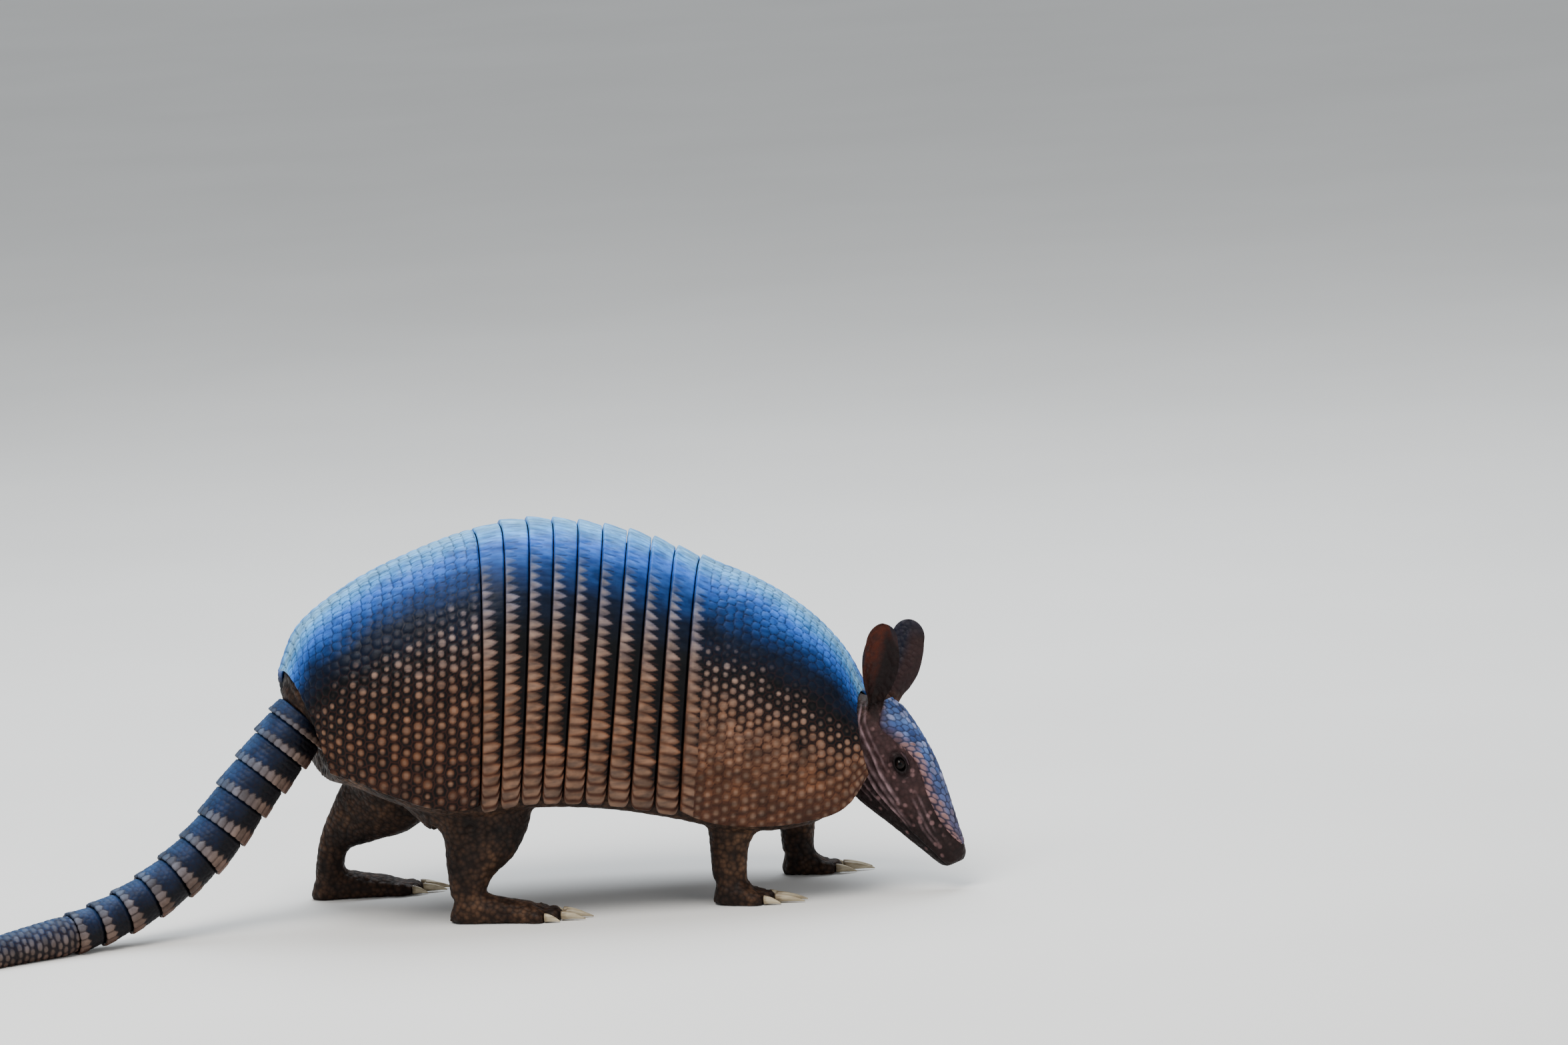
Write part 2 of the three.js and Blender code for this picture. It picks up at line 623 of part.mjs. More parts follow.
function soleGeometry(place, kind, grow) {
  const last = kind.sole.length - 1;
  return loft(kind.sole.map(([length, halfWidth, height], index) => {
    const reach = index === 0 ? -grow : index === last ? grow : 0;
    return footRing(place, length + reach, 0, halfWidth, height, grow);
  }));
}

const outwardSign = (name) => (name.endsWith('left') ? 1 : -1);

function addFoot(name) {
  const foot = FEET[name];
  const kind = FOOT_KINDS[foot.kind];
  const place = footPlacer(foot);
  const soleLength = kind.sole[kind.sole.length - 1][0];
  const radius = kind.toeRadius;
  const toes = kind.toes.map(([offset, length]) => {
    const side = offset * outwardSign(name);
    return loft(TOE_ROWS.map(([share, spread, width, height]) => footRing(
      place, soleLength + (share === null ? -TOE_OVERLAP : share * length), side * spread, radius * width,
      radius * height, 0,
    )));
  });
  addPiece(`${name.replace('_', '_foot_')}`, join([soleGeometry(place, kind, 0), ...toes]), skinMaterial);
  kind.toes.forEach(([offset, length, claw], index) => {
    const clawName = `${name.replace('_', '_claw_')}_${index + 1}`;
    addClaw(clawName, place, soleLength + length, offset * outwardSign(name), claw);
  });
}

/** A claw: a curved cone that leaves the toe level and bends down to the floor. */
function addClaw(name, place, start, offset, clawLength) {
  const toeEnd = TOE_ROWS[TOE_ROWS.length - 1];
  const rings = CLAW_STATIONS.map((t) => {
    const size = CLAW_RADIUS * (1 - CLAW_TAPER * t ** CLAW_TAPER_POWER);
    const height = CLAW_ROOT_HEIGHT - CLAW_DROP * t ** 2;
    return Array.from({ length: CLAW_SEGMENTS }, (_, i) => {
      const angle = (2 * Math.PI * i) / CLAW_SEGMENTS;
      return place(
        start + GAP + t * clawLength,
        offset * (toeEnd[1] + CLAW_SPREAD * t) + size * CLAW_FLATNESS * Math.sin(angle),
        height + size * Math.cos(angle),
      );
    });
  });
  addPiece(name, loft(rings), clawMaterial);
}

const LEG_SEGMENTS = 12;
for (const [name, rows] of Object.entries(LEGS)) {
  const foot = FEET[name];
  const clearSole = soleGeometry(footPlacer(foot), FOOT_KINDS[foot.kind], GAP);
  const leg = cut(limb(rows, LEG_SEGMENTS), trunkGeometry(GAP), neckGeometry(GAP), clearSole);
  addPiece(name.replace('_', '_leg_'), leg, skinMaterial);
  addFoot(name);
}

export default armadillo;
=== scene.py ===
"""Nine-banded armadillo, life size, as a still museum model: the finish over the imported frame.

Sizes are in millimetres, measured from a point on the floor under the shell. +X is toward the
head, +Y is the animal's left and +Z is up. place() turns them into metres in the row frame.
"""
import math

import bmesh
import bpy
import numpy as np
from mathutils import Matrix, Vector


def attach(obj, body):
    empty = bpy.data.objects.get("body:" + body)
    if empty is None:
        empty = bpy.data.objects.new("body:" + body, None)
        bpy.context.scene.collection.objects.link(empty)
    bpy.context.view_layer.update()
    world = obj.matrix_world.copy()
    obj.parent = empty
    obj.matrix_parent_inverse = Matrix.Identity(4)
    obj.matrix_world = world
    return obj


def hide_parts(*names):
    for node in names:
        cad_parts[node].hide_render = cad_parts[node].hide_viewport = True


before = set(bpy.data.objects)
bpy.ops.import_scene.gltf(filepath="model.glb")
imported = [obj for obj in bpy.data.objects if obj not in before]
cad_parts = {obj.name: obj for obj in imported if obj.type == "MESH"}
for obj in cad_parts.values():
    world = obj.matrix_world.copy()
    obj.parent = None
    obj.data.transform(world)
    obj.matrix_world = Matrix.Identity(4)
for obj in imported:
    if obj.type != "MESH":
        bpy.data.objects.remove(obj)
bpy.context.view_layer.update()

# ---------------------------------------------------------------- sizes of the frame

FRAME_SHIFT = np.array([-19.5, 40.0, 0.0])
METRES = 0.001
GAP = 0.3

BEND_MIDDLE = 150.0
BEND_RADIUS = 750.0

# Shell: [length along the back, top x, top z, rim x, rim z, half width]
SHELL_ROWS = np.array([
    [0, -54, 147.5, -39, 91, 43],
    [28, -41, 172.5, -26, 88, 57.5],
    [60, -14, 192, -8, 80, 67],
    [91, 15, 205.5, 14, 72, 72.5],
    [137, 60, 219.5, 46, 67.5, 76],
    [175, 98, 222.5, 78, 70, 77],
    [230, 150, 212, 127, 66, 76],
    [274, 189, 195, 171, 57, 73],
    [299, 212, 185.5, 196, 50, 69],
    [323, 233.5, 173, 221, 47, 64],
    [347, 253, 157, 248, 47.5, 57.5],
    [372, 268.5, 137, 272, 53.5, 50],
    [396, 278, 113, 287, 71, 40.5],
])
SHELL_LENGTH = 396.0
PELVIC_FRONT = 137.0
SCAPULAR_REAR = 274.0
BAND_COUNT = 9
SHELL_THICKNESS = 3.0
EDGE_LIFT = 1.6
RIM_ANGLE = math.radians(108)
FLANK_FULLNESS = 0.85
TRUNK_CLEARANCE = 0.9
BELLY_SAG = 9.0

# Tail: [x, height] of its middle line
TAIL_LINE = np.array([
    [-43, 120], [-78, 80.5], [-104, 50.3], [-136, 27.2], [-171, 13.6], [-215, 8.4], [-255, 4.6], [-290, 2],
])
TAIL_SWING = 1 / 900
TAIL_ROOT_RADIUS = 19.0
TAIL_TAPER = 0.62
TAIL_TIP_RADIUS = 1.6
TAIL_RING_LENGTHS = [10, 14.5, 18.5, 18.5, 20, 19.5, 19, 19, 18.5, 17, 16]
RING_FLARE = 1.2

# Head: [length from the nape, height of the profile, depth of the jaw line, half width]
NAPE = np.array([296.0, -20.0, 108.0])
HEAD_PITCH = math.radians(67)
HEAD_TURN = math.radians(25)
HEAD_ROWS = np.array([
    [-11, -9.5, -22, 8.5],
    [-5.5, -3, -33, 15],
    [4, -0.8, -44, 20],
    [18, 2.6, -48.5, 20.8],
    [34, 5.2, -49.5, 18.6],
    [48, 5.4, -43.5, 16.2],
    [62, 4.2, -35, 13.6],
    [76, 2.8, -27, 11.4],
    [89, 3.9, -19.5, 9.2],
    [96, 2.8, -15.5, 7.8],
    [99.5, 0.2, -12, 5.2],
])
JAW_NARROWING = 0.3
HEAD_MIDDLE_RISE = 0.08
# Head shield: [length from the nape, half angle in degrees]
HEAD_SHIELD_ROWS = np.array([
    [-3, 20], [9, 50], [20, 44], [32, 31], [44, 34], [57, 42], [70, 42], [80, 36], [87, 28], [91, 11],
])
CROWN_THICKNESS = 3.6    # its inner face lies in the skin
HEAD_SHIELD_OUTER = 2.5
EYE_RADIUS = 3.7
EYE_LENGTH = 34.5
EYE_ANGLE = math.radians(56)
EYE_DEPTH = 2.4

# ---------------------------------------------------------------- small tools


def smoothstep(low, high, x):
    """0 below low, 1 above high, and an S curve 3t^2 - 2t^3 between."""
    t = np.clip((x - low) / (high - low), 0, 1)
    return t * t * (3 - 2 * t)


def chance(i, j, seed):
    """A fixed number from 0 to 1 for each pair of whole numbers: the fraction of a large sine."""
    wave = np.sin(i * 12.9898 + j * 78.233 + seed * 37.719) * 43758.5453
    return wave - np.floor(wave)


def hermite_weights(t):
    """The four cubics of a Hermite piece: for its start, the slope there, its end and the slope there."""
    return 2 * t**3 - 3 * t**2 + 1, t**3 - 2 * t**2 + t, -2 * t**3 + 3 * t**2, t**3 - t**2


def table_curve(rows):
    """Smooth curves through a table: cubic Hermite pieces with slopes from the neighbouring rows."""
    keys = rows[:, 0]
    values = rows[:, 1:]
    slopes = np.empty_like(values, dtype=float)
    slopes[1:-1] = (values[2:] - values[:-2]) / (keys[2:] - keys[:-2])[:, None]
    slopes[0] = (values[1] - values[0]) / (keys[1] - keys[0])
    slopes[-1] = (values[-1] - values[-2]) / (keys[-1] - keys[-2])

    def curve(position):
        position = np.asarray(position, float)
        row = np.clip(np.searchsorted(keys, position, "right") - 1, 0, len(keys) - 2)
        span = keys[row + 1] - keys[row]
        start, start_slope, end, end_slope = hermite_weights((position - keys[row]) / span)
        weights = (start, start_slope * span, end, end_slope * span)
        parts = (values[row], slopes[row], values[row + 1], slopes[row + 1])
        mixed = sum(w[..., None] * part for w, part in zip(weights, parts))
        return [mixed[..., k] for k in range(values.shape[1])]

    return curve


def unit(vectors):
    """Vectors divided by their own lengths."""
    return vectors / np.linalg.norm(vectors, axis=-1, keepdims=True)


def place(points):
    """Millimetres from the body's own origin, as metres in the row frame."""
    return (np.asarray(points, float) + FRAME_SHIFT) * METRES


def turned_out(points, quads):
    """The quads of a closed body, turned so that the volume they enclose is positive: the sum over their
    triangles of the triple product of the corners."""
    corners = points[quads]
    volume = sum(np.einsum("ij,ij->i", corners[:, 0], np.cross(corners[:, k], corners[:, k + 1])).sum()
                 for k in (1, 2))
    return quads if volume > 0 else quads[:, ::-1]


def store(mesh, name, values):
    """Keeps one number or one vector for each vertex under a name that a material reads."""
    values = np.asarray(values, np.float32)
    is_vector = values.ndim == 2
    layer = mesh.attributes.new(name, "FLOAT_VECTOR" if is_vector else "FLOAT", "POINT")
    layer.data.foreach_set("vector" if is_vector else "value", values.ravel())


def new_piece(name, points, faces, attributes=None):
    """A mesh object from points in millimetres and quads, with what its material reads."""
    points = place(points).reshape(-1, 3)
    quads = turned_out(points, faces)
    mesh = bpy.data.meshes.new(name)
    mesh.vertices.add(len(points))
    mesh.vertices.foreach_set("co", points.astype(np.float32).ravel())
    mesh.loops.add(quads.size)
    mesh.loops.foreach_set("vertex_index", quads.astype(np.int32).ravel())
    mesh.polygons.add(len(quads))
    mesh.polygons.foreach_set("loop_start", np.arange(0, quads.size, 4, dtype=np.int32))
    mesh.polygons.foreach_set("use_smooth", np.ones(len(quads), bool))
    mesh.update(calc_edges=True)
    for key, values in (attributes or {}).items():
        store(mesh, key, values)
    piece = bpy.data.objects.new(name, mesh)
    bpy.context.scene.collection.objects.link(piece)
    return piece


def tube_faces(rows, columns):
    """Quads of a grid whose columns close on themselves, and each end closed by a fan of thin quads."""
    index = np.arange(rows * columns).reshape(rows, columns)
    ahead = np.roll(index, -1, axis=1)
    walls = np.stack([index[:-1], ahead[:-1], ahead[1:], index[1:]], axis=-1).reshape(-1, 4)
    return np.concatenate([walls, strip_cap(index[0])[:, ::-1], strip_cap(index[-1])])


def strip_cap(ring):
    """Closes an even ring of points with quads across it, from one side to the other."""
    half = len(ring) // 2
    near = ring[:half]
    far = ring[half:][::-1]
    return np.stack([near[:-1], near[1:], far[1:], far[:-1]], axis=-1)


# ---------------------------------------------------------------- the forms under the finish


def spine_y(x):
    """The spine's place across the body: a parabola, farthest left at the bend's middle."""
    return -((x - BEND_MIDDLE) ** 2) / (2 * BEND_RADIUS)


def spine_yaw(x):
    """The plan direction of the spine at x."""
    return np.arctan(-(x - BEND_MIDDLE) / BEND_RADIUS)


shell_row = table_curve(SHELL_ROWS)
head_row = table_curve(HEAD_ROWS)
head_shield_row = table_curve(HEAD_SHIELD_ROWS)


def shell_surface(s, v):
    """Shell face: an arch from rim to rim (v = -1 to 1) at length s along the back, half an angle of 108
    degrees each side. Its height follows the cosine, and its reach a power of the sine."""
    top_x, top_z, rim_x, rim_z, half_width = shell_row(s)
    angle = v * RIM_ANGLE
    rise = (np.cos(angle) - math.cos(RIM_ANGLE)) / (1 - math.cos(RIM_ANGLE))
    reach = np.sign(angle) * np.abs(np.sin(angle)) ** FLANK_FULLNESS * half_width
    x = rim_x + (top_x - rim_x) * rise
    z = rim_z + (top_z - rim_z) * rise
    yaw = spine_yaw(x)
    return np.stack([x - np.sin(yaw) * reach, spine_y(x) + np.cos(yaw) * reach, z], axis=-1)


def shell_point(s, v, distance):
    """The shell face moved out along its own normal."""
    s, v, distance = np.broadcast_arrays(s, v, distance)
    along = shell_surface(s + 1, v) - shell_surface(s - 1, v)
    across = shell_surface(s, v + 0.02) - shell_surface(s, v - 0.02)
    return shell_surface(s, v) + unit(np.cross(along, across)) * distance[..., None]


head_forward = np.array([
    math.cos(HEAD_PITCH) * math.cos(HEAD_TURN),
    -math.cos(HEAD_PITCH) * math.sin(HEAD_TURN),
    -math.sin(HEAD_PITCH),
])
head_left = np.array([math.sin(HEAD_TURN), math.cos(HEAD_TURN), 0.0])
head_up = np.cross(head_forward, head_left)


def head_surface(length, angle):
    """Head: ovals square to the line of the snout, narrower at the jaw than at the crown."""
    top, jaw, half_width = head_row(length)
    middle = (top + jaw) / 2 + (top - jaw) * HEAD_MIDDLE_RISE
    height = np.where(np.cos(angle) > 0, top - middle, middle - jaw)
    narrowing = 1 - JAW_NARROWING * smoothstep(0, 1, -np.cos(angle))
    up = middle + height * np.cos(angle)
    left = half_width * narrowing * np.sin(angle)
    return NAPE + length[..., None] * head_forward + up[..., None] * head_up + left[..., None] * head_left


def head_point(length, angle, distance):
    """The head's surface moved out along its own normal."""
    length, angle, distance = np.broadcast_arrays(*np.atleast_1d(length, angle, distance))
    length = length.astype(float)
    along = head_surface(length + 1, angle) - head_surface(length - 1, angle)
    around = head_surface(length, angle + 0.05) - head_surface(length, angle - 0.05)
    return head_surface(length, angle) + unit(np.cross(along, around)) * distance[..., None]


# ---------------------------------------------------------------- patterns of scutes

SCUTE_PITCH = 5.9        # across the back
ROW_PITCH = 6.6          # along the back, in the rump shield
SHOULDER_ROW_PITCH = 5.4
CELL_WANDER = 0.22       # how far a cell's centre strays from its row and column, as a share of them
MOST_ROWS = 41


def rosettes(rows, columns, size, seed, skew=(0.0, 0.0), shifts=None):
    """Staggered cells: every second row lies half a cell over, or each row by its own entry of shifts. Each
    point finds its nearest and second nearest cell centre among the nine round it, measured against the
    cell's own size; the difference is the way to the groove between them. skew is how much the columns
    change along a row step, and the cosine between the two directions, so that the distances are true ones
    on a surface whose two directions aren't square."""
    best = np.full(rows.shape, 9e9)
    second = np.full(rows.shape, 9e9)
    row_id = np.zeros(rows.shape)
    column_id = np.zeros(rows.shape)
    for row_step in (-1, 0, 1):
        row = np.round(rows) + row_step
        shift = 0.5 * np.mod(row, 2) if shifts is None else np.interp(row, np.arange(len(shifts)), shifts)
        stagger = shift + skew[0] * (rows - row) * size[0] / size[1]
        nearest_column = np.round(columns - stagger)
        for column_step in (-1, 0, 1):
            column = nearest_column + column_step
            wander = CELL_WANDER * (chance(row, column, seed) - 0.5)
            drift = CELL_WANDER * (chance(row, column, seed + 1) - 0.5)
            scale = 0.9 + 0.16 * np.mod(row + column, 2) + 0.16 * chance(row, column, seed + 2)
            down = (rows - row - wander) * size[0]
            over = (columns - column - stagger - drift) * size[1]
            away = np.sqrt(np.maximum(down**2 + over**2 + 2 * skew[1] * down * over, 0)) / scale
            nearer = away < best
            second = np.where(nearer, best, np.minimum(second, away))
            row_id = np.where(nearer, row, row_id)
            column_id = np.where(nearer, column, column_id)
            best = np.where(nearer, away, best)
    return best, second - best, chance(row_id, column_id, seed + 3)


def row_shifts(run, skew, flank, row_pitch):
    """How far each row of a shield must lie over, in cells, for its scutes to sit between those of the row
    before it: half a cell less what the rows drift by themselves at mid flank, added up from row to row."""
    drift = (skew[1] - skew[0]) * row_pitch / SCUTE_PITCH
    row = np.clip(np.round(run / row_pitch), 0, MOST_ROWS - 1).astype(int)
    at_flank = (flank > 0.5) & (flank < 0.8)
    total = np.bincount(row[at_flank], drift[at_flank], minlength=MOST_ROWS)
    count = np.bincount(row[at_flank], minlength=MOST_ROWS)
    own = np.where(count > 0, total / np.maximum(count, 1), 0.5)
    return np.concatenate([[0], np.cumsum(0.5 - own)])


def shield_pattern(run, girth, skew, flank, start, radius_rows, row_pitch, seed):
    """Round pale scutes on a dark ground, in rows that keep their distance. They begin at flank = start and
    grow toward the rim. run is the length along the surface from the edge next to the bands."""
    side = np.where(girth < 0, -1, 1)
    skew = (skew[0] * side, skew[1] * side)
    girth = girth * side
    size = (row_pitch, SCUTE_PITCH)
    shifts = row_shifts(run, skew, flank, row_pitch)
    away, groove_way, tone = rosettes(run / row_pitch, girth / SCUTE_PITCH, size, seed, skew, shifts)
    below = flank - start
    radius = np.interp(below, radius_rows[0], radius_rows[1]) * (0.8 + 0.4 * tone)
    pale = smoothstep(radius + 0.5, radius - 0.4, away) * smoothstep(-0.06, 0.08, below + 0.08 * (tone - 0.5))
    groove = smoothstep(1.0, 0.1, groove_way)
    dome = np.clip(1 - (away / 3.1) ** 2, 0, 1)
    # Painted highlight in the middle of each pale scute.
    highlight_and_nose_share = smoothstep(1.9, 0.5, away) * pale
    return pale, groove, dome, tone, highlight_and_nose_share


def band_pattern(girth, t, flank, seed):
    """Long scutes with their base on the rear edge (t = 0) and their tip toward the front, as triangles high
    on the flank and as rounded oblongs near the rim. Their half width is 0.54 (1 - (t / reach)^power)."""
    u = girth / SCUTE_PITCH + 0.5
    column = np.floor(u)
    off_middle = np.abs(u - column - 0.5)
    tone = chance(column, seed, 2)
    reach = np.interp(flank, [0.0, 0.22, 0.34, 0.64, 0.82, 0.92, 1], [0.9, 0.52, 0.5, 0.72, 0.9, 1.04, 1.2])
    reach = reach * (0.88 + 0.24 * tone)
    power = np.interp(flank, [0.3, 0.5, 0.66, 0.82, 0.95], [1.2, 1.6, 2.2, 3.6, 7])
    half = 0.54 - 0.54 * np.clip(t / reach, 0, 1) ** power
    inside = (half - off_middle) * SCUTE_PITCH
    behind_tip = smoothstep(0.06, -0.02, t - reach)
    pale = smoothstep(-0.5, 0.5, inside) * smoothstep(0.2, 0.36, flank) * behind_tip
    to_joint = (0.5 - off_middle) * SCUTE_PITCH
    groove = np.exp(-((to_joint / 0.4) ** 2)) * (0.35 + 0.65 * smoothstep(0.1, 0.3, t)) * behind_tip
    dome = np.sqrt(np.clip(np.minimum(inside, to_joint) / 1.4, 0, 1)) * behind_tip
    dark_scute = np.clip((-inside - 0.3) / 1.2, 0, 1) * (1 - t) ** 0.5
    dome = np.maximum(dome, 0.7 * dark_scute)
    # Painted highlight in the middle of each pale scute.
    highlight_and_nose_share = smoothstep(0.3, 2.2, inside) * smoothstep(0.0, 0.12, t) * pale
    return pale, groove, dome, tone, highlight_and_nose_share


# ---------------------------------------------------------------- plates

# between points of a plate's outer face: across the body and along it
SHIELD_STEPS = (0.8, 0.8)
BAND_STEPS = (0.72, 0.6)
CROWN_STEPS = (0.42, 0.42)
EDGE_ROUND = 0.9
CROWN_EDGE_ROUND = 0.6
EDGE_POINTS = 5
SCUTE_HEIGHT = 0.42
GROOVE_DEPTH = 0.3


def even_across(point, middle, step):
    """Values from rim to rim, with equal steps on the surface at the plate's middle, and 0 among them."""
    trial = np.linspace(0, 1, 400)
    line = point(np.full(400, middle), trial, np.zeros(400))
    length = np.concatenate([[0], np.cumsum(np.linalg.norm(np.diff(line, axis=0), axis=1))])
    half = np.interp(np.linspace(0, length[-1], int(length[-1] / step)), length, trial)
    return np.concatenate([-half[:0:-1], half])


def parallel_rows(point, s, v, run):
    """Length round the surface along lines that keep their distance from the plate's edge, from the crest
    out. The lines run = constant are found at each v, measured, and read back at every point. Also returns
    how much that length changes along a line of constant v, and the cosine between the two directions."""
    levels = np.linspace(run.min(), run.max(), 200)
    order = 1 if run[0, -1] > run[0, 0] else -1
    spots = np.stack([np.interp(levels, row[::order], line[::order]) for row, line in zip(run, s)])
    line_points = point(spots, np.broadcast_to(v[:, :1], spots.shape), 0 * spots)
    steps = np.linalg.norm(np.diff(line_points, axis=0, prepend=line_points[:1]), axis=2)
    length = np.cumsum(steps, axis=0)
    length = length - length[len(v) // 2]
    down = np.gradient(line_points, levels, axis=1)
    over = np.gradient(line_points, axis=0)
    cosine = np.einsum("ijk,ijk->ij", unit(down), unit(over))
    change = np.gradient(length, levels, axis=1)
    girth, change, cosine = (
        np.stack([np.interp(row, levels, line) for row, line in zip(run, values)])
        for values in (length, change, cosine)
    )
    return girth, np.clip(change, -2, 2), np.clip(cosine, -0.9, 0.9)


def plate(name, point, rear, front, pattern, lift, thickness, steps, corner=0.0, from_front=False,
          edge=EDGE_ROUND, parallel=False):
    """A closed plate. A loop of points runs along the outer face, round the front edge, back along the inner
    face and round the rear edge, and is carried from rim to rim. The scutes stand on the outer face.
    pattern gives its pale share, grooves, domes, tone and a fifth share, which is a painted highlight in the
    middle of the shell's scutes and the way toward the nose on the head shield, and lift how much thicker it
    is in places.
    from_front measures the rows from the front edge, and parallel keeps them at even distances."""
    across = even_across(point, (rear + front) / 2, steps[0])
    count = max(12, int((front - rear) / steps[1]))
    outer_s = np.linspace(rear + edge, front - edge, count)
    turn = np.radians(np.linspace(90, -90, EDGE_POINTS + 2)[1:-1])
    inner_s = np.linspace(front - edge, rear + edge, max(5, count // 7))
    front_edge = front - edge + edge * np.cos(turn)
    rear_edge = rear + edge - edge * np.cos(turn)
    loop_s = np.concatenate([outer_s, front_edge, inner_s, rear_edge])
    outward = np.concatenate([np.ones(count), np.sin(turn), -np.ones(len(inner_s)), np.sin(-turn)])
    if len(loop_s) % 2:
        loop_s = np.delete(loop_s, count + EDGE_POINTS + 2)
        outward = np.delete(outward, count + EDGE_POINTS + 2)
    s, v = np.meshgrid(loop_s, across)
    t = (s - rear) / (front - rear)
    corner_cut = corner * np.abs(2 * t - 1) ** 6 * smoothstep(0.8, 1, np.abs(v))
    v = v * (1 - corner_cut)
    base = point(s, v, 0 * s)
    girth = np.cumsum(np.linalg.norm(np.diff(base, axis=0, prepend=base[:1]), axis=2), axis=0)
    girth = girth - girth[len(across) // 2]
    forward = np.sign(np.diff(s, axis=1, prepend=s[:, :1]))
    run = np.cumsum(np.linalg.norm(np.diff(base, axis=1, prepend=base[:, :1]), axis=2) * forward, axis=1)
    if from_front:
        run = run[:, count - 1:count] - run
    skew = (0.0, 0.0)
    if parallel:
        outer_girth, change, cosine = parallel_rows(point, s[:, :count], v[:, :count], run[:, :count])
        above = np.clip(np.searchsorted(outer_s, loop_s), 0, count - 1)
        girth, skew = outer_girth[:, above], (change[:, above], cosine[:, above])
    flank = np.abs(v)
    pale, groove, dome, tone, highlight_and_nose_share = pattern(s, run, girth, skew, t, flank)
    face = smoothstep(0.2, 1, outward)[None, :]
    relief = (SCUTE_HEIGHT * dome - GROOVE_DEPTH * groove) * face
    half = (thickness + lift(s, v)) / 2
    rim_way = (1 - np.abs(across)) / (1 - np.abs(across[1]))
    rim = np.sqrt(np.clip(1 - (1 - np.clip(rim_way / 2.2, 0, 1)) ** 2, 0.02, 1))[:, None]
    distance = half - thickness + half * outward[None, :] * rim + relief * rim
    points = point(s, v, distance)
    finish = np.stack([pale * face, groove * face, flank], axis=-1)
    faces = tube_faces(len(across), len(loop_s))
    return new_piece(name, points, faces, {
        "finish": finish.reshape(-1, 3), "tone": tone.ravel(), "highlight_and_nose_share": (highlight_and_nose_share * face).ravel(),
    })


# ---------------------------------------------------------------- shell

BAND_PITCH = (SCAPULAR_REAR - PELVIC_FRONT) / BAND_COUNT
SHIELD_CORNER = 0.02     # how much of the half girth a plate's corners lose
BAND_CORNER = 0.03
TOOTH_ROW = 7.6          # length of the first row of the shoulder shield, whose scutes are like a band's
TOOTH_REACH = 11.5
RUMP_FIRST_ROW = 3.0     # from the edge next to the bands to the first row of round scutes
SHOULDER_FIRST_ROW = 10.5
# radius of a shield's pale scutes: [flank below their start], [mm]
RUMP_SCUTES = ([0, 0.1, 0.25, 0.4], [1.15, 1.6, 1.85, 2.05])
SHOULDER_SCUTES = ([0, 0.1, 0.2, 0.32], [1.0, 1.6, 2.5, 3.8])


def rear_lift(rear_edge):
    """A plate's rear edge stands above the surface, and its face comes down to it over one band."""
    return lambda s, v: EDGE_LIFT * np.clip(1 - (s - rear_edge) / BAND_PITCH, 0, 1)


def shell_pieces():
    """The rump shield, nine bands and the shoulder shield."""
    made = []

    def rump(s, run, girth, skew, t, flank):
        start = 0.60 - 0.22 * s / PELVIC_FRONT
        return shield_pattern(run - RUMP_FIRST_ROW, girth, skew, flank, start, RUMP_SCUTES, ROW_PITCH, 11)

    def shoulder(s, run, girth, skew, t, flank):
        start = 0.44 + 0.16 * (s - SCAPULAR_REAR) / (SHELL_LENGTH - SCAPULAR_REAR)
        teeth = band_pattern(girth[:, :1] + 0 * s, run / TOOTH_REACH, flank, 3)
        dots = shield_pattern(run - SHOULDER_FIRST_ROW, girth, skew, flank, start, SHOULDER_SCUTES,
                              SHOULDER_ROW_PITCH, 29)
        return [np.where(run < TOOTH_ROW, tooth, dot) for tooth, dot in zip(teeth, dots)]

    made.append(plate("rump_shield", shell_point, GAP, PELVIC_FRONT - GAP, rump, lambda s, v: 0 * s,
                      SHELL_THICKNESS, SHIELD_STEPS, SHIELD_CORNER, from_front=True, parallel=True))
    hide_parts("pelvic_shield")
    for band in range(BAND_COUNT, 0, -1):
        rear = PELVIC_FRONT + (BAND_COUNT - band) * BAND_PITCH
        step = rear_lift(rear)

        def lift(s, v, band=band, step=step):
            return step(s, v) * (smoothstep(0.3, 0.6, np.abs(v)) if band == BAND_COUNT else 1)

        def scutes(s, run, girth, skew, t, flank, band=band):
            return band_pattern(girth[:, :1] + 0 * s, t, flank, band)

        made.append(plate(f"shell_band_{band}", shell_point, rear + GAP, rear + BAND_PITCH - GAP, scutes,
                          lift, SHELL_THICKNESS, BAND_STEPS, BAND_CORNER))
        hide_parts(f"band_{band}")
    made.append(plate("shoulder_shield", shell_point, SCAPULAR_REAR + GAP, SHELL_LENGTH - GAP, shoulder,
                      rear_lift(SCAPULAR_REAR), SHELL_THICKNESS, SHIELD_STEPS, SHIELD_CORNER, parallel=True))
    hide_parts("scapular_shield")
    return made


# ---------------------------------------------------------------- tail

TAIL_AROUND = 132
TAIL_STEP = 0.6
TAIL_SCALE_WIDTH = 4.7
WHIP_SCALES_ROUND = 12
WHIP_SCALE = (4.2, 3.1)  # length and width


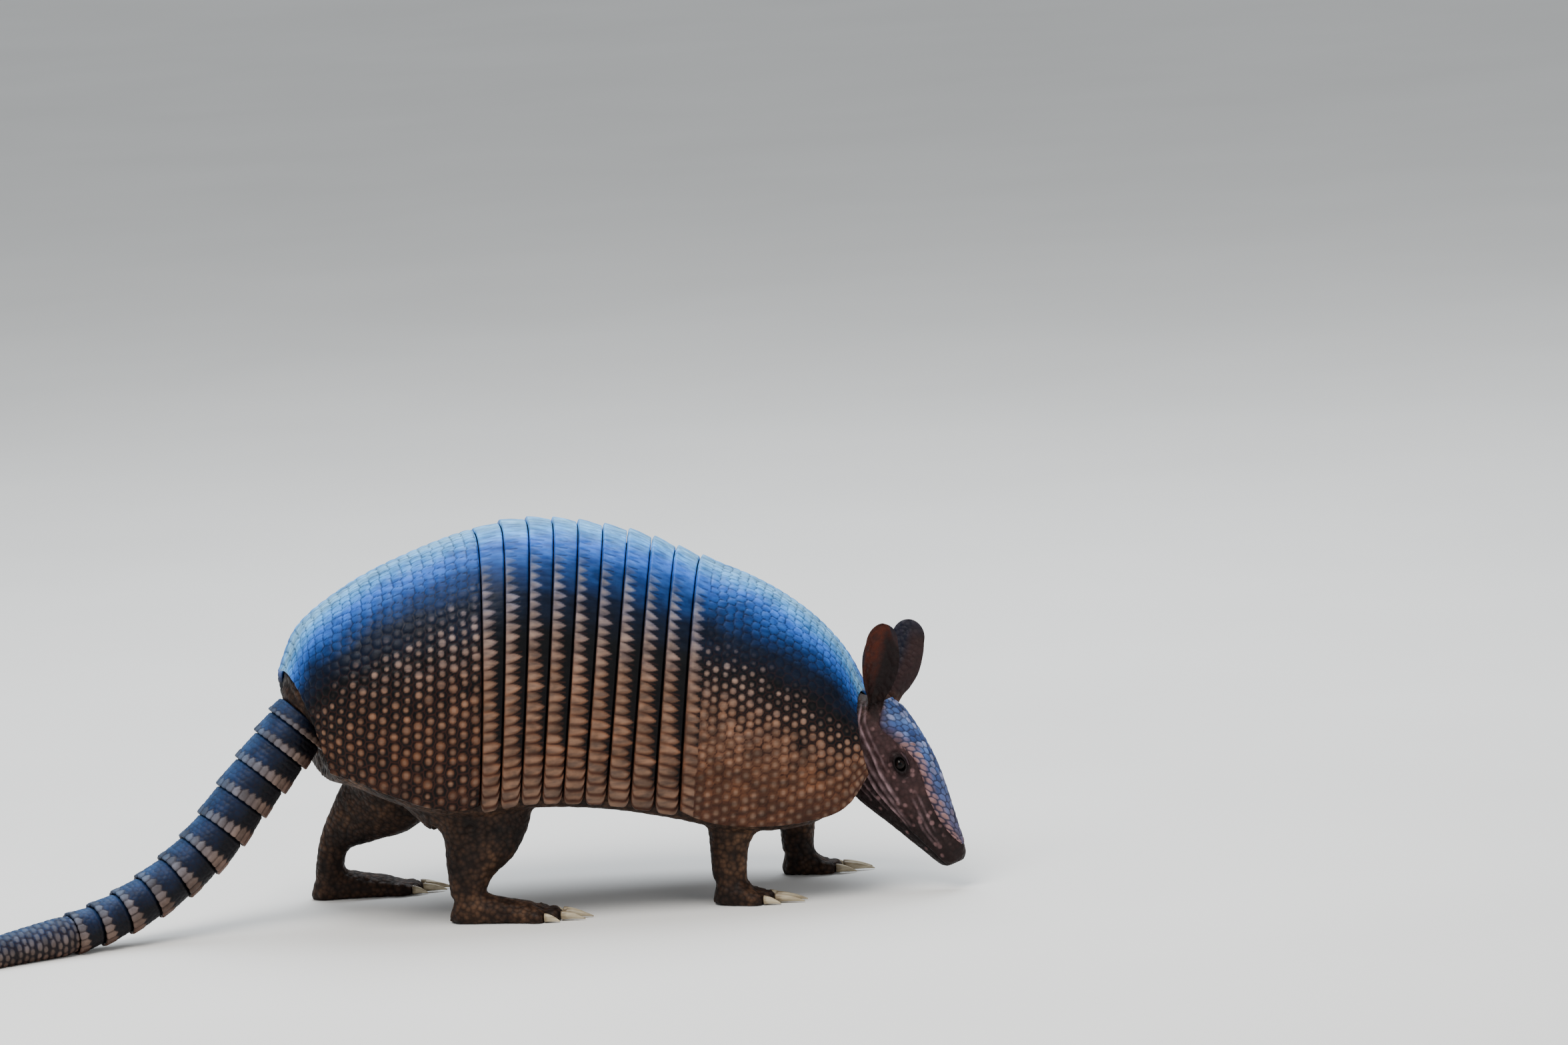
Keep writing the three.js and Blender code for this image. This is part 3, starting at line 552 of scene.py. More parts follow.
def tail_line():
    """The tail's middle line: centripetal Catmull-Rom pieces through TAIL_LINE, sampled finely.
    Returns the length along it, the points and the directions."""
    root_x = TAIL_LINE[0, 0]
    x, z = TAIL_LINE.T
    slope = math.tan(spine_yaw(root_x))
    y = spine_y(root_x) + slope * (x - root_x) - TAIL_SWING * (x - root_x) ** 2
    knots = np.stack([x, y, z], axis=1)
    knots = np.concatenate([[2 * knots[0] - knots[1]], knots, [2 * knots[-1] - knots[-2]]])
    pieces = []
    for p0, p1, p2, p3 in zip(knots, knots[1:], knots[2:], knots[3:]):
        d0, d1, d2 = (math.sqrt(np.linalg.norm(b - a)) for a, b in ((p0, p1), (p1, p2), (p2, p3)))
        start = ((p1 - p0) / d0 - (p2 - p0) / (d0 + d1) + (p2 - p1) / d1) * d1
        end = ((p2 - p1) / d1 - (p3 - p1) / (d1 + d2) + (p3 - p2) / d2) * d1
        weights = hermite_weights(np.linspace(0, 1, 120, endpoint=False)[:, None])
        pieces.append(weights[0] * p1 + weights[1] * start + weights[2] * p2 + weights[3] * end)
    points = np.concatenate(pieces + [knots[-2:-1]])
    length = np.concatenate([[0], np.cumsum(np.linalg.norm(np.diff(points, axis=0), axis=1))])
    directions = unit(np.gradient(points, axis=0))
    return length, points, directions


tail_length_at, tail_points, tail_directions = tail_line()
TAIL_LENGTH = tail_length_at[-1]


def tail_radius(length):
    """Thick at the root, and thinner along a power curve."""
    way = np.clip(1 - length / TAIL_LENGTH, 0, 1)
    return TAIL_TIP_RADIUS + (TAIL_ROOT_RADIUS - TAIL_TIP_RADIUS) * way ** TAIL_TAPER


def tail_surface(length, radius, angle):
    """Points round the tail's middle line. The underside is flat where the tail lies on the floor."""
    centre, along = (np.stack([np.interp(length, tail_length_at, column) for column in table.T], axis=-1)
                     for table in (tail_points, tail_directions))
    along = unit(along)
    side = unit(np.cross([0.0, 0.0, 1.0], along))
    up = np.cross(along, side)
    points = centre + up * (radius * np.cos(angle))[..., None] + side * (radius * np.sin(angle))[..., None]
    points[..., 2] = np.maximum(points[..., 2], 0)
    return points


def tail_ring(number, start, length):
    """One ring: a sleeve that widens toward its rear edge, closed by a disc at each end, with a rounded and
    toothed rear lip. Its rear part is a row of long pale scales, and its front part is dark, with small
    ones."""
    front_radius = tail_radius(start) - RING_FLARE
    rear_radius = tail_radius(start + length) + RING_FLARE / 2
    along = np.linspace(0, 1, max(14, int(length / TAIL_STEP)))
    middle = tail_radius(start + 0.6 * length)
    swell = np.interp(along, [0, 0.6, 1], [front_radius, middle, rear_radius])
    first = start + 2 * GAP
    span = length - 3 * GAP
    lip = np.radians(np.linspace(90, -90, 7))[1:]
    lip_radius = 0.8
    hollow = 1 - 3.4 / span
    tuck = 2.4 / span
    spots = np.concatenate([[-tuck, -tuck, -tuck, -0.5 * tuck], along * (1 - lip_radius / span),
                            1 - lip_radius / span * (1 - np.cos(lip)), [hollow, hollow, hollow]])
    inside_radius = rear_radius - 2 * lip_radius - 0.1
    radii = np.concatenate([front_radius * np.array([0.1, 0.5, 0.9, 0.92]), swell,
                            rear_radius - lip_radius * (1 - np.sin(lip)),
                            inside_radius * np.array([0.96, 0.5, 0.1])])
    t, angle = np.meshgrid(spots, np.linspace(0, 2 * math.pi, TAIL_AROUND, endpoint=False), indexing="ij")
    count = round(2 * math.pi * middle / TAIL_SCALE_WIDTH)
    u = angle / (2 * math.pi) * count + 0.5 * (number % 2)
    column = np.mod(np.floor(u), count)
    off_middle = np.abs(u - np.floor(u) - 0.5)
    tone = chance(column, number, 5)
    outer = np.arange(len(spots)) < len(spots) - 6
    face = smoothstep(0.0, 0.04, t) * outer[:, None]
    width = 2 * math.pi * middle / count
    pale_start = 0.56 + 0.09 * np.cos(angle) + 0.3 * off_middle + 0.05 * (tone - 0.5)
    front_way = (t - pale_start) * length
    side_way = (0.5 - off_middle) * width
    inside = np.minimum(side_way, front_way * 0.8)
    pale = smoothstep(-0.3, 0.4, front_way) * face
    groove = np.exp(-((inside / 0.42) ** 2)) * face
    away, groove_way, small_tone = rosettes(t * length / 3.4, u * width / 3.6, (3.4, 3.6), number)
    small = smoothstep(0.3, -0.4, front_way)
    groove = np.maximum(groove, 0.55 * smoothstep(0.8, 0.1, groove_way) * small * face)
    small_dome = 0.5 * np.clip(1 - (away / 2) ** 2, 0, 1)
    dome = np.where(front_way > 0, np.sqrt(np.clip(inside / 1.5, 0, 1)), small_dome)
    serration = 0.5 * (1 - (2 * off_middle) ** 2) * smoothstep(0.9, 1, t)
    radius = radii[:, None] + (0.45 * dome - 0.3 * groove) * face
    points = tail_surface(first + t * span + serration - 0.5 * smoothstep(0.9, 1, t), radius, angle)
    finish = np.stack([pale, groove, 1 - np.abs((angle / math.pi) % 2 - 1)], axis=-1)
    tone = np.where(front_way > 0, tone, small_tone)
    return new_piece(f"tail_sleeve_{number}", points, tube_faces(*t.shape),
                     {"finish": finish.reshape(-1, 3), "tone": tone.ravel()})


def tail_whip(start):
    """The tail's end past the rings: a cone with staggered small scales and a rounded tip."""
    first = start + GAP
    span = TAIL_LENGTH - first
    along = np.linspace(0, 1, int(span / 0.65))
    spots = np.concatenate([[-0.02, -0.02, -0.01], along, [1.0]])
    radii = np.concatenate([[0.1, 0.6, 0.9], np.ones(len(along)), [0.25]])
    t, angle = np.meshgrid(spots, np.linspace(0, 2 * math.pi, 72, endpoint=False), indexing="ij")
    length = first + t * span
    radius = tail_radius(length) - RING_FLARE * smoothstep(8, 0, t * span)
    turns = angle / (2 * math.pi) * WHIP_SCALES_ROUND
    away, groove_way, tone = rosettes(t * span / WHIP_SCALE[0], turns, WHIP_SCALE, 77)
    groove = smoothstep(0.9, 0.1, groove_way)
    dome = np.clip(1 - (away / 2.2) ** 2, 0, 1)
    pale = smoothstep(1.7, 0.9, away) * 0.8
    shrink = 0.25 + 0.75 * smoothstep(0, 0.7, 1 - t)
    points = tail_surface(length, (radius + (0.4 * dome - 0.3 * groove) * shrink) * radii[:, None], angle)
    flank = 1 - np.abs((angle / math.pi) % 2 - 1)
    finish = np.stack([pale, groove * shrink, flank], axis=-1)
    return new_piece("tail_whip", points, tube_faces(*t.shape),
                     {"finish": finish.reshape(-1, 3), "tone": tone.ravel()})


def tail_pieces():
    """Eleven rings, then the whip."""
    made = []
    start = 0.0
    for index, length in enumerate(TAIL_RING_LENGTHS):
        made.append(tail_ring(index + 1, start, length))
        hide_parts(f"tail_ring_{index + 1}")
        start += length
    made.append(tail_whip(start))
    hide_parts("tail_end")
    return made


# ---------------------------------------------------------------- head shield, eyes and claws


CROWN_SCUTE = (4.2, 4.6)   # length and width
CROWN_EDGE_SINK = 2.3


def crown_point(length, v, distance):
    """The head's surface under the head shield, whose half angle changes along the head."""
    half_angle = np.radians(head_shield_row(length)[0])
    return head_point(length, v * half_angle, HEAD_SHIELD_OUTER + distance)


def crown_shield():
    """The head shield: many-sided scutes, palest next to its side edges. Its edges sink toward the skin."""
    def scutes(s, run, girth, skew, t, flank):
        away, groove_way, tone = rosettes(run / CROWN_SCUTE[0], girth / CROWN_SCUTE[1], CROWN_SCUTE, 53)
        edge_row = smoothstep(0.45, 0.8, flank + 0.3 * (tone - 0.5)) * smoothstep(0.15, 0.4, t)
        pale = smoothstep(2.5, 1.2, away) * np.clip(0.85 * edge_row + 0.3 * (tone > 0.7), 0, 1)
        dome = np.clip(1 - (away / 2.9) ** 2, 0, 1)
        return pale, smoothstep(1.3, 0.1, groove_way), dome, tone, smoothstep(0.35, 1, t)

    rear, front = HEAD_SHIELD_ROWS[0, 0], HEAD_SHIELD_ROWS[-1, 0]

    def sink(s, v):
        t = (s - rear) / (front - rear)
        edge = np.maximum(smoothstep(0.7, 1, np.abs(v)), smoothstep(0.8, 1, t))
        return -CROWN_EDGE_SINK * np.maximum(edge, smoothstep(0.1, 0, t))

    piece = plate("crown_shield", crown_point, rear, front, scutes, sink, CROWN_THICKNESS, CROWN_STEPS,
                  edge=CROWN_EDGE_ROUND)
    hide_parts("head_shield")
    return piece


def eye_frame(side):
    """Centre of an eye and its axes: outward, along the snout and across. side is 1 for the left eye and -1
    for the right."""
    angle = side * EYE_ANGLE
    centre = head_point(EYE_LENGTH, angle, -EYE_DEPTH)[0]
    outward = unit(head_point(EYE_LENGTH, angle, 1.0)[0] - head_point(EYE_LENGTH, angle, 0.0)[0])
    along = unit(head_forward - outward * np.dot(head_forward, outward))
    return centre, outward, along, np.cross(outward, along)


def eyeball(side):
    """A ball whose pole looks outward, with a slightly fuller clear front."""
    centre, outward, along, across = eye_frame(side)
    polar, angle = np.meshgrid(np.linspace(0.02, math.pi - 0.02, 40),
                               np.linspace(0, 2 * math.pi, 48, endpoint=False), indexing="ij")
    radius = EYE_RADIUS * (1 + 0.035 * smoothstep(0.75, 0.2, polar))
    points = (centre + outward * (radius * np.cos(polar))[..., None]
              + along * (radius * np.sin(polar) * np.cos(angle))[..., None]
              + across * (radius * np.sin(polar) * np.sin(angle))[..., None])
    name = "left" if side > 0 else "right"
    piece = new_piece(f"eyeball_{name}", points, tube_faces(*polar.shape), {"polar": polar.ravel()})
    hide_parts(f"eye_{name}")
    return piece


# Feet: heel [x, y], heading in degrees
FEET = {
    "hind_right": ([34, -54], -6, "hind"),
    "hind_left": ([-50, 40], 8, "hind"),
    "front_right": ([186, -43], -8, "front"),
    "front_left": ([226, 36], 2, "front"),
}
# sole: [length from the heel, half width, height]; toes: [offset outward, length past the sole, claw length]
FOOT_KINDS = {
    "hind": {
        "sole": [[0, 5, 10], [6, 8.5, 16], [18, 10, 17], [36, 12, 13], [52, 13, 10]],
        "toes": [[-11, 6, 9], [-6.2, 13, 14], [-0.4, 15, 16], [5.8, 13, 14], [11, 4, 9]],
        "radius": 3.9,
    },
    "front": {
        "sole": [[0, 6, 13], [5, 9, 17], [14, 10.5, 16], [24, 11, 11]],
        "toes": [[-8.6, 7, 12], [-3, 12, 18], [3, 12, 17], [8.4, 6, 10]],
        "radius": 4.0,
    },
}
CLAW_RADIUS = 2.5


def foot_place(foot, length, offset, height):
    """A point given as length from the heel, offset to the left and height."""
    heel, heading, _ = FEET[foot]
    angle = math.radians(heading)
    length, offset, height = np.broadcast_arrays(length, offset, height)
    return np.stack([
        heel[0] + length * math.cos(angle) - offset * math.sin(angle),
        heel[1] + length * math.sin(angle) + offset * math.cos(angle),
        np.maximum(height, 0),
    ], axis=-1)


def claws(foot):
    """The claws of one foot. Each is a curved cone, taller than wide, that bends down toward the floor: its
    radius falls by a power of the way to the tip, and its height by the square."""
    kind = FOOT_KINDS[FEET[foot][2]]
    outward = 1 if foot.endswith("left") else -1
    start = kind["sole"][-1][0]
    all_points, all_faces = [], []
    rows, columns = 22, 16
    t, angle = np.meshgrid(np.linspace(0, 1, rows), np.linspace(0, 2 * math.pi, columns, endpoint=False),
                           indexing="ij")
    for number, (offset, toe, claw) in enumerate(kind["toes"]):
        size = CLAW_RADIUS * (1 - 0.86 * t**1.4) * np.where(t == 0, 0.9, 1)
        height = 3.1 - 2.3 * t**2
        ridge = 1 + 0.1 * np.clip(np.cos(angle), 0, 1) ** 3
        side = offset * outward * (1.06 + 0.04 * t)
        points = foot_place(foot, start + toe + GAP + t * claw, side + size * 0.78 * np.sin(angle),
                            height + size * ridge * np.cos(angle))
        all_faces.append(tube_faces(rows, columns) + number * rows * columns)
        all_points.append(points.reshape(-1, 3))
    claw_count = len(kind["toes"])
    piece = new_piece(f"claws_{foot}", np.concatenate(all_points), np.concatenate(all_faces),
                      {"tip": np.tile(t.ravel(), claw_count)})
    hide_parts(*[f"{foot.replace('_', '_claw_')}_{number}" for number in range(1, claw_count + 1)])
    return piece


# ---------------------------------------------------------------- skin

SKIN_VOXEL = 1.6
BELLY_STEPS = 24
ARCH_STEPS = 62
# how much deeper the trunk lies under the front of the shell: [length along the back], [mm]
TRUNK_DEEPER = ([335, 347, 358, 366], [0, 3, 9, 18])
# Neck and legs: [x, y, z, half length, half width], from inside the trunk to the head or the ankle
NECK_ROWS = [
    [238, -8, 98, 38, 40], [257, -11, 92, 28, 35], [272, -14, 88, 25, 28], [285, -17, 85, 20.5, 19.5],
]
LEGS = {
    "hind_right": [[30, -34, 92, 32, 24], [54, -44, 66, 31, 21], [54, -50, 48, 24, 16], [48, -53, 32, 15, 11],
                   [44, -54, 13, 9, 8.5]],
    "hind_left": [[6, 14, 92, 34, 22], [0, 24, 66, 28, 17], [-18, 34, 50, 19, 13], [-34, 40, 34, 9.5, 9],
                  [-39, 40, 13, 8.5, 8.5]],
    "front_right": [[208, -26, 84, 24, 20], [202, -38, 56, 19, 15], [197, -42, 36, 12, 10.5],
                    [196, -43, 14, 10, 9]],
    "front_left": [[218, 20, 80, 24, 20], [230, 32, 54, 18, 14], [236, 35, 34, 11.5, 10],
                   [236, 36, 14, 9.5, 9]],
}


def trunk_rings():
    """The trunk: under the shell from rim to rim, and deeper near its front end, then across the belly as
    half an oval that hangs below it. The first ring is the circle where the tail begins."""
    v = np.linspace(-1, 1, ARCH_STEPS)
    belly = np.linspace(0, math.pi, BELLY_STEPS + 2)[1:-1]
    front_end = [339, 343, 347, 351, 355, 358, 362, 366]
    stations = np.concatenate([[3, 6, 10, 15], np.arange(20, 336, 6.0), front_end])
    deeper = np.interp(stations, *TRUNK_DEEPER)
    arch = shell_point(stations[:, None], v[None, :], -SHELL_THICKNESS - TRUNK_CLEARANCE - deeper[:, None])
    middle = (arch[:, -1:] + arch[:, :1]) / 2
    half = (arch[:, -1:] - arch[:, :1]) / 2
    under = middle + half * np.cos(belly)[None, :, None]
    under[..., 2] -= BELLY_SAG * np.sin(belly)
    along = tail_directions[0]
    side = -unit(np.cross([0.0, 0.0, 1.0], along))
    up = np.cross(side, along)
    lower = RIM_ANGLE + (2 * math.pi - 2 * RIM_ANGLE) * np.arange(1, BELLY_STEPS + 1) / (BELLY_STEPS + 1)
    angle = np.concatenate([v * RIM_ANGLE, lower])
    radius = TAIL_ROOT_RADIUS - RING_FLARE
    root = tail_points[0] + radius * (np.cos(angle)[:, None] * up + np.sin(angle)[:, None] * side)
    return np.concatenate([root[None], np.concatenate([arch, under], axis=1)])


def limb_rings(rows, steps=26, segments=36):
    """A limb: ovals square to a smooth path, with half length fore and aft and half width across."""
    rows = np.array(rows, float)
    run = np.concatenate([[0], np.cumsum(np.linalg.norm(np.diff(rows[:, :3], axis=0), axis=1))])
    curve = table_curve(np.concatenate([run[:, None], rows], axis=1))
    x, y, z, half_length, half_width = curve(np.linspace(0, run[-1], steps))
    centre = np.stack([x, y, z], axis=1)
    along = unit(np.gradient(centre, axis=0))
    side = unit(np.array([0.0, 1.0, 0.0]) - along * along[:, 1:2])
    front = np.cross(side, along)
    angle = np.linspace(0, 2 * math.pi, segments, endpoint=False)[None, :, None]
    return (centre[:, None] + front[:, None] * half_length[:, None, None] * np.cos(angle)
            + side[:, None] * half_width[:, None, None] * np.sin(angle))


def foot_rings(foot, length, offset, half_width, height, segments=24):
    """Rings of a foot or toe: ovals whose underside is flat on the floor."""
    angle = np.linspace(0, 2 * math.pi, segments, endpoint=False)[None, :]
    length, offset, half_width, height = (np.asarray(a, float)[:, None]
                                          for a in np.broadcast_arrays(length, offset, half_width, height))
    return foot_place(foot, length + 0 * angle, offset + half_width * np.sin(angle),
                      0.36 * height + 0.64 * height * np.cos(angle))


def foot_bodies(foot):
    """The sole and its toes. A toe has a knuckle pad in its middle and a round end."""
    kind = FOOT_KINDS[FEET[foot][2]]
    outward = 1 if foot.endswith("left") else -1
    sole_row = table_curve(np.array(kind["sole"], float))
    end = kind["sole"][-1][0]
    length = np.linspace(0, end, 24)
    half_width, height = sole_row(length)
    rounding = np.sqrt(np.clip(1 - (1 - np.clip(length / 6, 0, 1)) ** 2, 0.15, 1))
    rounding = rounding * np.sqrt(np.clip(1 - (1 - np.clip((end - length) / 4, 0, 1)) ** 2, 0.3, 1))
    bodies = [foot_rings(foot, length, 0, half_width * rounding, height * rounding)]
    radius = kind["radius"]
    for offset, toe, _ in kind["toes"]:
        run = np.linspace(-14, toe, 18)
        t = np.clip(run / toe, -1, 1)
        thick = np.interp(run, [-14, 0, 0.6 * toe, toe], [0.9, 1, 0.86, 0.74]) * radius
        round_end = np.sqrt(np.clip((toe - run + 0.8) / 2.2, 0.2, 1))
        thick = thick * (1 + 0.1 * np.cos(3 * math.pi * t)) * round_end
        side = offset * outward * np.interp(run, [-14, 0, toe], [0.75, 1, 1.06])
        bodies.append(foot_rings(foot, end + run, side, thick, 2 * thick))
    return bodies


def head_rings():
    """The head from behind the nape to the disc of the nose."""
    length = np.concatenate([np.arange(-9, 98, 1.5), [98.3, 99.5]])
    angle = np.linspace(0, 2 * math.pi, 72, endpoint=False)
    return head_surface(length[:, None] + 0 * angle, angle[None, :] + 0 * length[:, None])


def merged(name, ring_sets):
    """One mesh that holds several closed bodies."""
    points, faces = [], []
    start = 0
    for rings in ring_sets:
        body = rings.reshape(-1, 3)
        faces.append(turned_out(body, tube_faces(*rings.shape[:2])) + start)
        points.append(body)
        start += len(body)
    return new_piece(name, np.concatenate(points), np.concatenate(faces))


def use_modifier(piece, kind, **settings):
    """Adds a modifier and bakes it into the mesh at once."""
    modifier = piece.modifiers.new(kind.lower(), kind)
    for key, value in settings.items():
        setattr(modifier, key, value)
    graph = bpy.context.evaluated_depsgraph_get()
    baked = bpy.data.meshes.new_from_object(piece.evaluated_get(graph))
    piece.modifiers.clear()
    old = piece.data
    piece.data = baked
    bpy.data.meshes.remove(old)


def read_vectors(items, key):
    """One vector for each item of a mesh."""
    flat = np.empty(len(items) * 3, np.float32)
    items.foreach_get(key, flat)
    return flat.reshape(-1, 3).astype(float)


def read_points(mesh):
    """A mesh's vertices in the body's millimetres."""
    return read_vectors(mesh.vertices, "co") / METRES - FRAME_SHIFT


def face_middles(mesh):
    """The middle of each face, in the body's millimetres."""
    return read_vectors(mesh.polygons, "center") / METRES - FRAME_SHIFT


def write_points(mesh, points):
    """Puts vertices given in the body's millimetres back into a mesh."""
    mesh.vertices.foreach_set("co", place(points).astype(np.float32).ravel())
    mesh.update()


def read_normals(mesh):
    """A mesh's vertex normals."""
    return read_vectors(mesh.vertex_normals, "vector")


def relaxed(mesh, points, rounds, weight):
    """Points drawn toward the mean of their neighbours, each as far as its weight says."""
    pairs = np.empty(len(mesh.edges) * 2, np.int32)
    mesh.edges.foreach_get("vertices", pairs)
    first, second = pairs.reshape(-1, 2).T
    count = len(points)
    neighbours = np.bincount(first, minlength=count) + np.bincount(second, minlength=count)
    weight = np.broadcast_to(weight, (count,))[:, None]
    for _ in range(rounds):
        total = np.stack([
            np.bincount(first, column[second], count) + np.bincount(second, column[first], count)
            for column in points.T
        ], axis=1)
        points = points + (total / np.maximum(neighbours, 1)[:, None] - points) * weight
    return points


# Ears: [height fraction, half width, how far the edges curl forward]
EAR_HEIGHT = 49.0
EAR_ROWS = np.array([
    [-0.08, 4, 4.2], [0.1, 5.4, 5.4], [0.22, 8.2, 6], [0.4, 10.8, 5.6], [0.6, 11.4, 4.4], [0.78, 10, 3.2],
    [0.92, 6.8, 1.8], [1, 3, 0.8],
])
EAR_THICKNESS = 1.7
EAR_TIP_BEGINS = 0.78     # height fraction where the outline turns into half an oval
# root, lean forward, lean outward and the plan direction of the hollow side, in degrees
EARS = {
    "right": ([283.5, -26, 109], 10, 10, -68),
    "left": ([293.5, -8, 106.5], 19, -8, 68),
}
ear_row = table_curve(EAR_ROWS)


def ear_frame(side):
    """Root of an ear and its axes: up, across and toward the hollow side."""
    root, lean, outward, facing = EARS[side]
    lean, outward, facing = (math.radians(a) for a in (lean, outward, facing))
    up = unit(np.array([math.sin(lean), -math.sin(outward), math.cos(lean)]))
    hollow = np.array([math.cos(facing), math.sin(facing), 0.0])
    hollow = unit(hollow - up * np.dot(hollow, up))
    return np.array(root, float), up, np.cross(up, hollow), hollow


def ear_loop(side):
    """A cupped leaf: a closed loop of points, front face then back face, carried from the root to the tip.
    Its half width follows the table, and from EAR_TIP_BEGINS up it is half an oval."""
    root, up, across, hollow = ear_frame(side)
    height = np.concatenate([np.linspace(-0.08, 0.94, 56), 1 - 0.06 * (1 - np.linspace(0.1, 1, 8)) ** 2])
    turn = np.linspace(0, 2 * math.pi, 72, endpoint=False)
    h, angle = np.meshgrid(height, turn, indexing="ij")
    _, curl = ear_row(h)
    half_width, _ = ear_row(np.minimum(h, EAR_TIP_BEGINS))
    toward_tip = np.clip((h - EAR_TIP_BEGINS) / (1 - EAR_TIP_BEGINS), 0, 0.999)
    half_width = half_width * np.sqrt(1 - toward_tip ** 2)
    v = np.cos(angle)
    face = np.sign(np.sin(angle)) * np.abs(np.sin(angle)) ** 0.5
    thin = EAR_THICKNESS / 2 * (1 - 0.45 * np.maximum(h, np.abs(v))) * (1 - 0.5 * smoothstep(0.97, 1, h))
    veins = 0.18 * np.sin(v * 9 + 3 * h) * np.sign(face)
    veins = veins * smoothstep(0.1, 0.3, h) * smoothstep(1, 0.8, np.abs(v))
    wave = 0.5 * np.sin(h * 11 + 2 * v) * smoothstep(0.4, 0.9, np.abs(v)) * smoothstep(0.25, 0.5, h)
    return (root + up * (h * EAR_HEIGHT)[..., None] + across * (v * half_width)[..., None]
            + hollow * (curl * v * v + face * thin + veins + wave)[..., None])


def from_nape(points):
    """Points measured from the nape: along the snout, toward the crown and toward the left."""
    away = points - NAPE
    return away @ head_forward, away @ head_up, away @ head_left


def head_place(points):
    """Where points lie on the head: length, angle from the crown toward the left, the half width there, and
    the distance from the middle as a share of the head's own."""
    length, up, left = from_nape(points)
    top, jaw, half_width = head_row(np.clip(length, HEAD_ROWS[0, 0], HEAD_ROWS[-1, 0]))
    middle = (top + jaw) / 2 + (top - jaw) * HEAD_MIDDLE_RISE
    half_height = np.where(up > middle, top - middle, middle - jaw)
    angle = np.arctan2(left / half_width, (up - middle) / half_height)
    reach = np.hypot(left / half_width, (up - middle) / half_height)
    return length, angle, half_width, reach


def eye_relief(points):
    """Lids and sockets: an almond opening whose skin sinks behind the ball, a raised rim round it, a crease
    and a low ridge outside the rim, and a shallow hollow round them all. Also how much painted shade darkens
    the socket."""
    rise = np.zeros(len(points))
    recess_shade = np.zeros(len(points))
    for side in (1, -1):
        centre, outward, along, across = eye_frame(side)
        away = points - centre
        a, b, out = away @ along, away @ across, away @ outward
        near = (out > -4) & (np.hypot(a, b) < 22)
        ring = np.hypot(a / 3.9, b / 2.5)
        spread = np.hypot(a, b)
        move = -3.6 * smoothstep(1.12, 0.8, ring)
        move = move + 1.35 * np.exp(-(((ring - 1.3) / 0.24) ** 2))
        move = move - 0.6 * np.exp(-(((ring - 1.95) / 0.22) ** 2))
        move = move + 0.35 * np.exp(-(((ring - 2.4) / 0.2) ** 2))
        move = move - 0.9 * np.exp(-((spread / 10) ** 2))
        rise += np.where(near, move, 0)
        recess_shade += np.where(near, np.exp(-((np.hypot(a / 8.2, b / 5.6)) ** 4)), 0)
    return rise, recess_shade


# Folds of the cheek, throat and snout: angle round the head at the rear end and at the front end, length
# where it begins and where it ends, height, width
FOLDS = [
    (1.12, 1.42, -10, 40, 0.4, 0.7), (1.3, 1.7, -10, 60, 1.0, 0.75), (1.49, 1.9, -10, 74, 0.5, 0.8),
    (1.66, 2.04, -8, 72, 0.9, 0.7), (1.84, 2.22, -4, 60, 0.45, 0.75), (2.05, 2.42, 0, 52, 0.6, 0.75),
    (0.98, 1.2, 48, 84, 0.35, 0.65), (1.22, 1.5, 52, 92, 0.4, 0.7), (1.5, 1.75, 64, 94, 0.3, 0.65),
]
MOUTH_ANGLE = 2.2
LIP_ANGLE = 2.02


def head_relief(points):
    """Folds and mouth. A fold is a ridge that runs along the head at a slowly changing angle and wanders a
    little, with a furrow beside it. Returns the rise along the normal, how pale the ridges are, and the
    mouth."""
    length, angle, half_width, reach = head_place(points)
    turn = np.abs(angle)
    rise = np.zeros(len(points))
    pale = np.zeros(len(points))
    on_head = smoothstep(0.55, 0.8, reach) * smoothstep(1.5, 1.25, reach)
    for number, (rear_angle, front_angle, begin, end, height, width) in enumerate(FOLDS):
        way = np.clip((length - begin) / (end - begin), 0, 1)
        place_angle = rear_angle + (front_angle - rear_angle) * way
        wander = 0.012 * np.sin(length * 0.16 + number * 2.1) + 0.006 * np.sin(length * 0.41 + number)
        distance = (turn - place_angle - wander) * half_width
        window = smoothstep(begin, begin + 10, length) * smoothstep(end, end - 16, length) * on_head
        broken = 0.7 + 0.3 * np.sin(length * 0.7 + number * 1.7)
        ridge = np.exp(-((distance / width) ** 2)) * window
        rise += height * ridge - 0.6 * height * np.exp(-(((distance - 1.9 * width) / width) ** 2)) * window
        pale = np.maximum(pale, ridge * broken * min(1.0, 1.2 * height ** 1.3))
    mouth = np.exp(-((((turn - MOUTH_ANGLE) * half_width) / 0.55) ** 2))
    mouth = mouth * smoothstep(58, 66, length) * smoothstep(99, 97, length) * on_head
    rise -= 1.0 * mouth
    lip = np.exp(-((((turn - LIP_ANGLE) * half_width) / 0.8) ** 2))
    rise += 0.35 * lip * smoothstep(58, 70, length) * on_head
    return rise, pale * smoothstep(0, 0.1, pale), mouth


def nostril_push(points):
    """How far points on the nose disc go back into the head: two round pits beside the middle."""
    length, up, left = from_nape(points)
    pit = np.zeros(len(points))
    for side in (1, -1):
        spread = np.hypot(left - side * 2.3, (up + 5.2) * 0.85)
        pit = np.maximum(pit, smoothstep(1.5, 0.7, spread))
    return pit * smoothstep(96.5, 98, length)


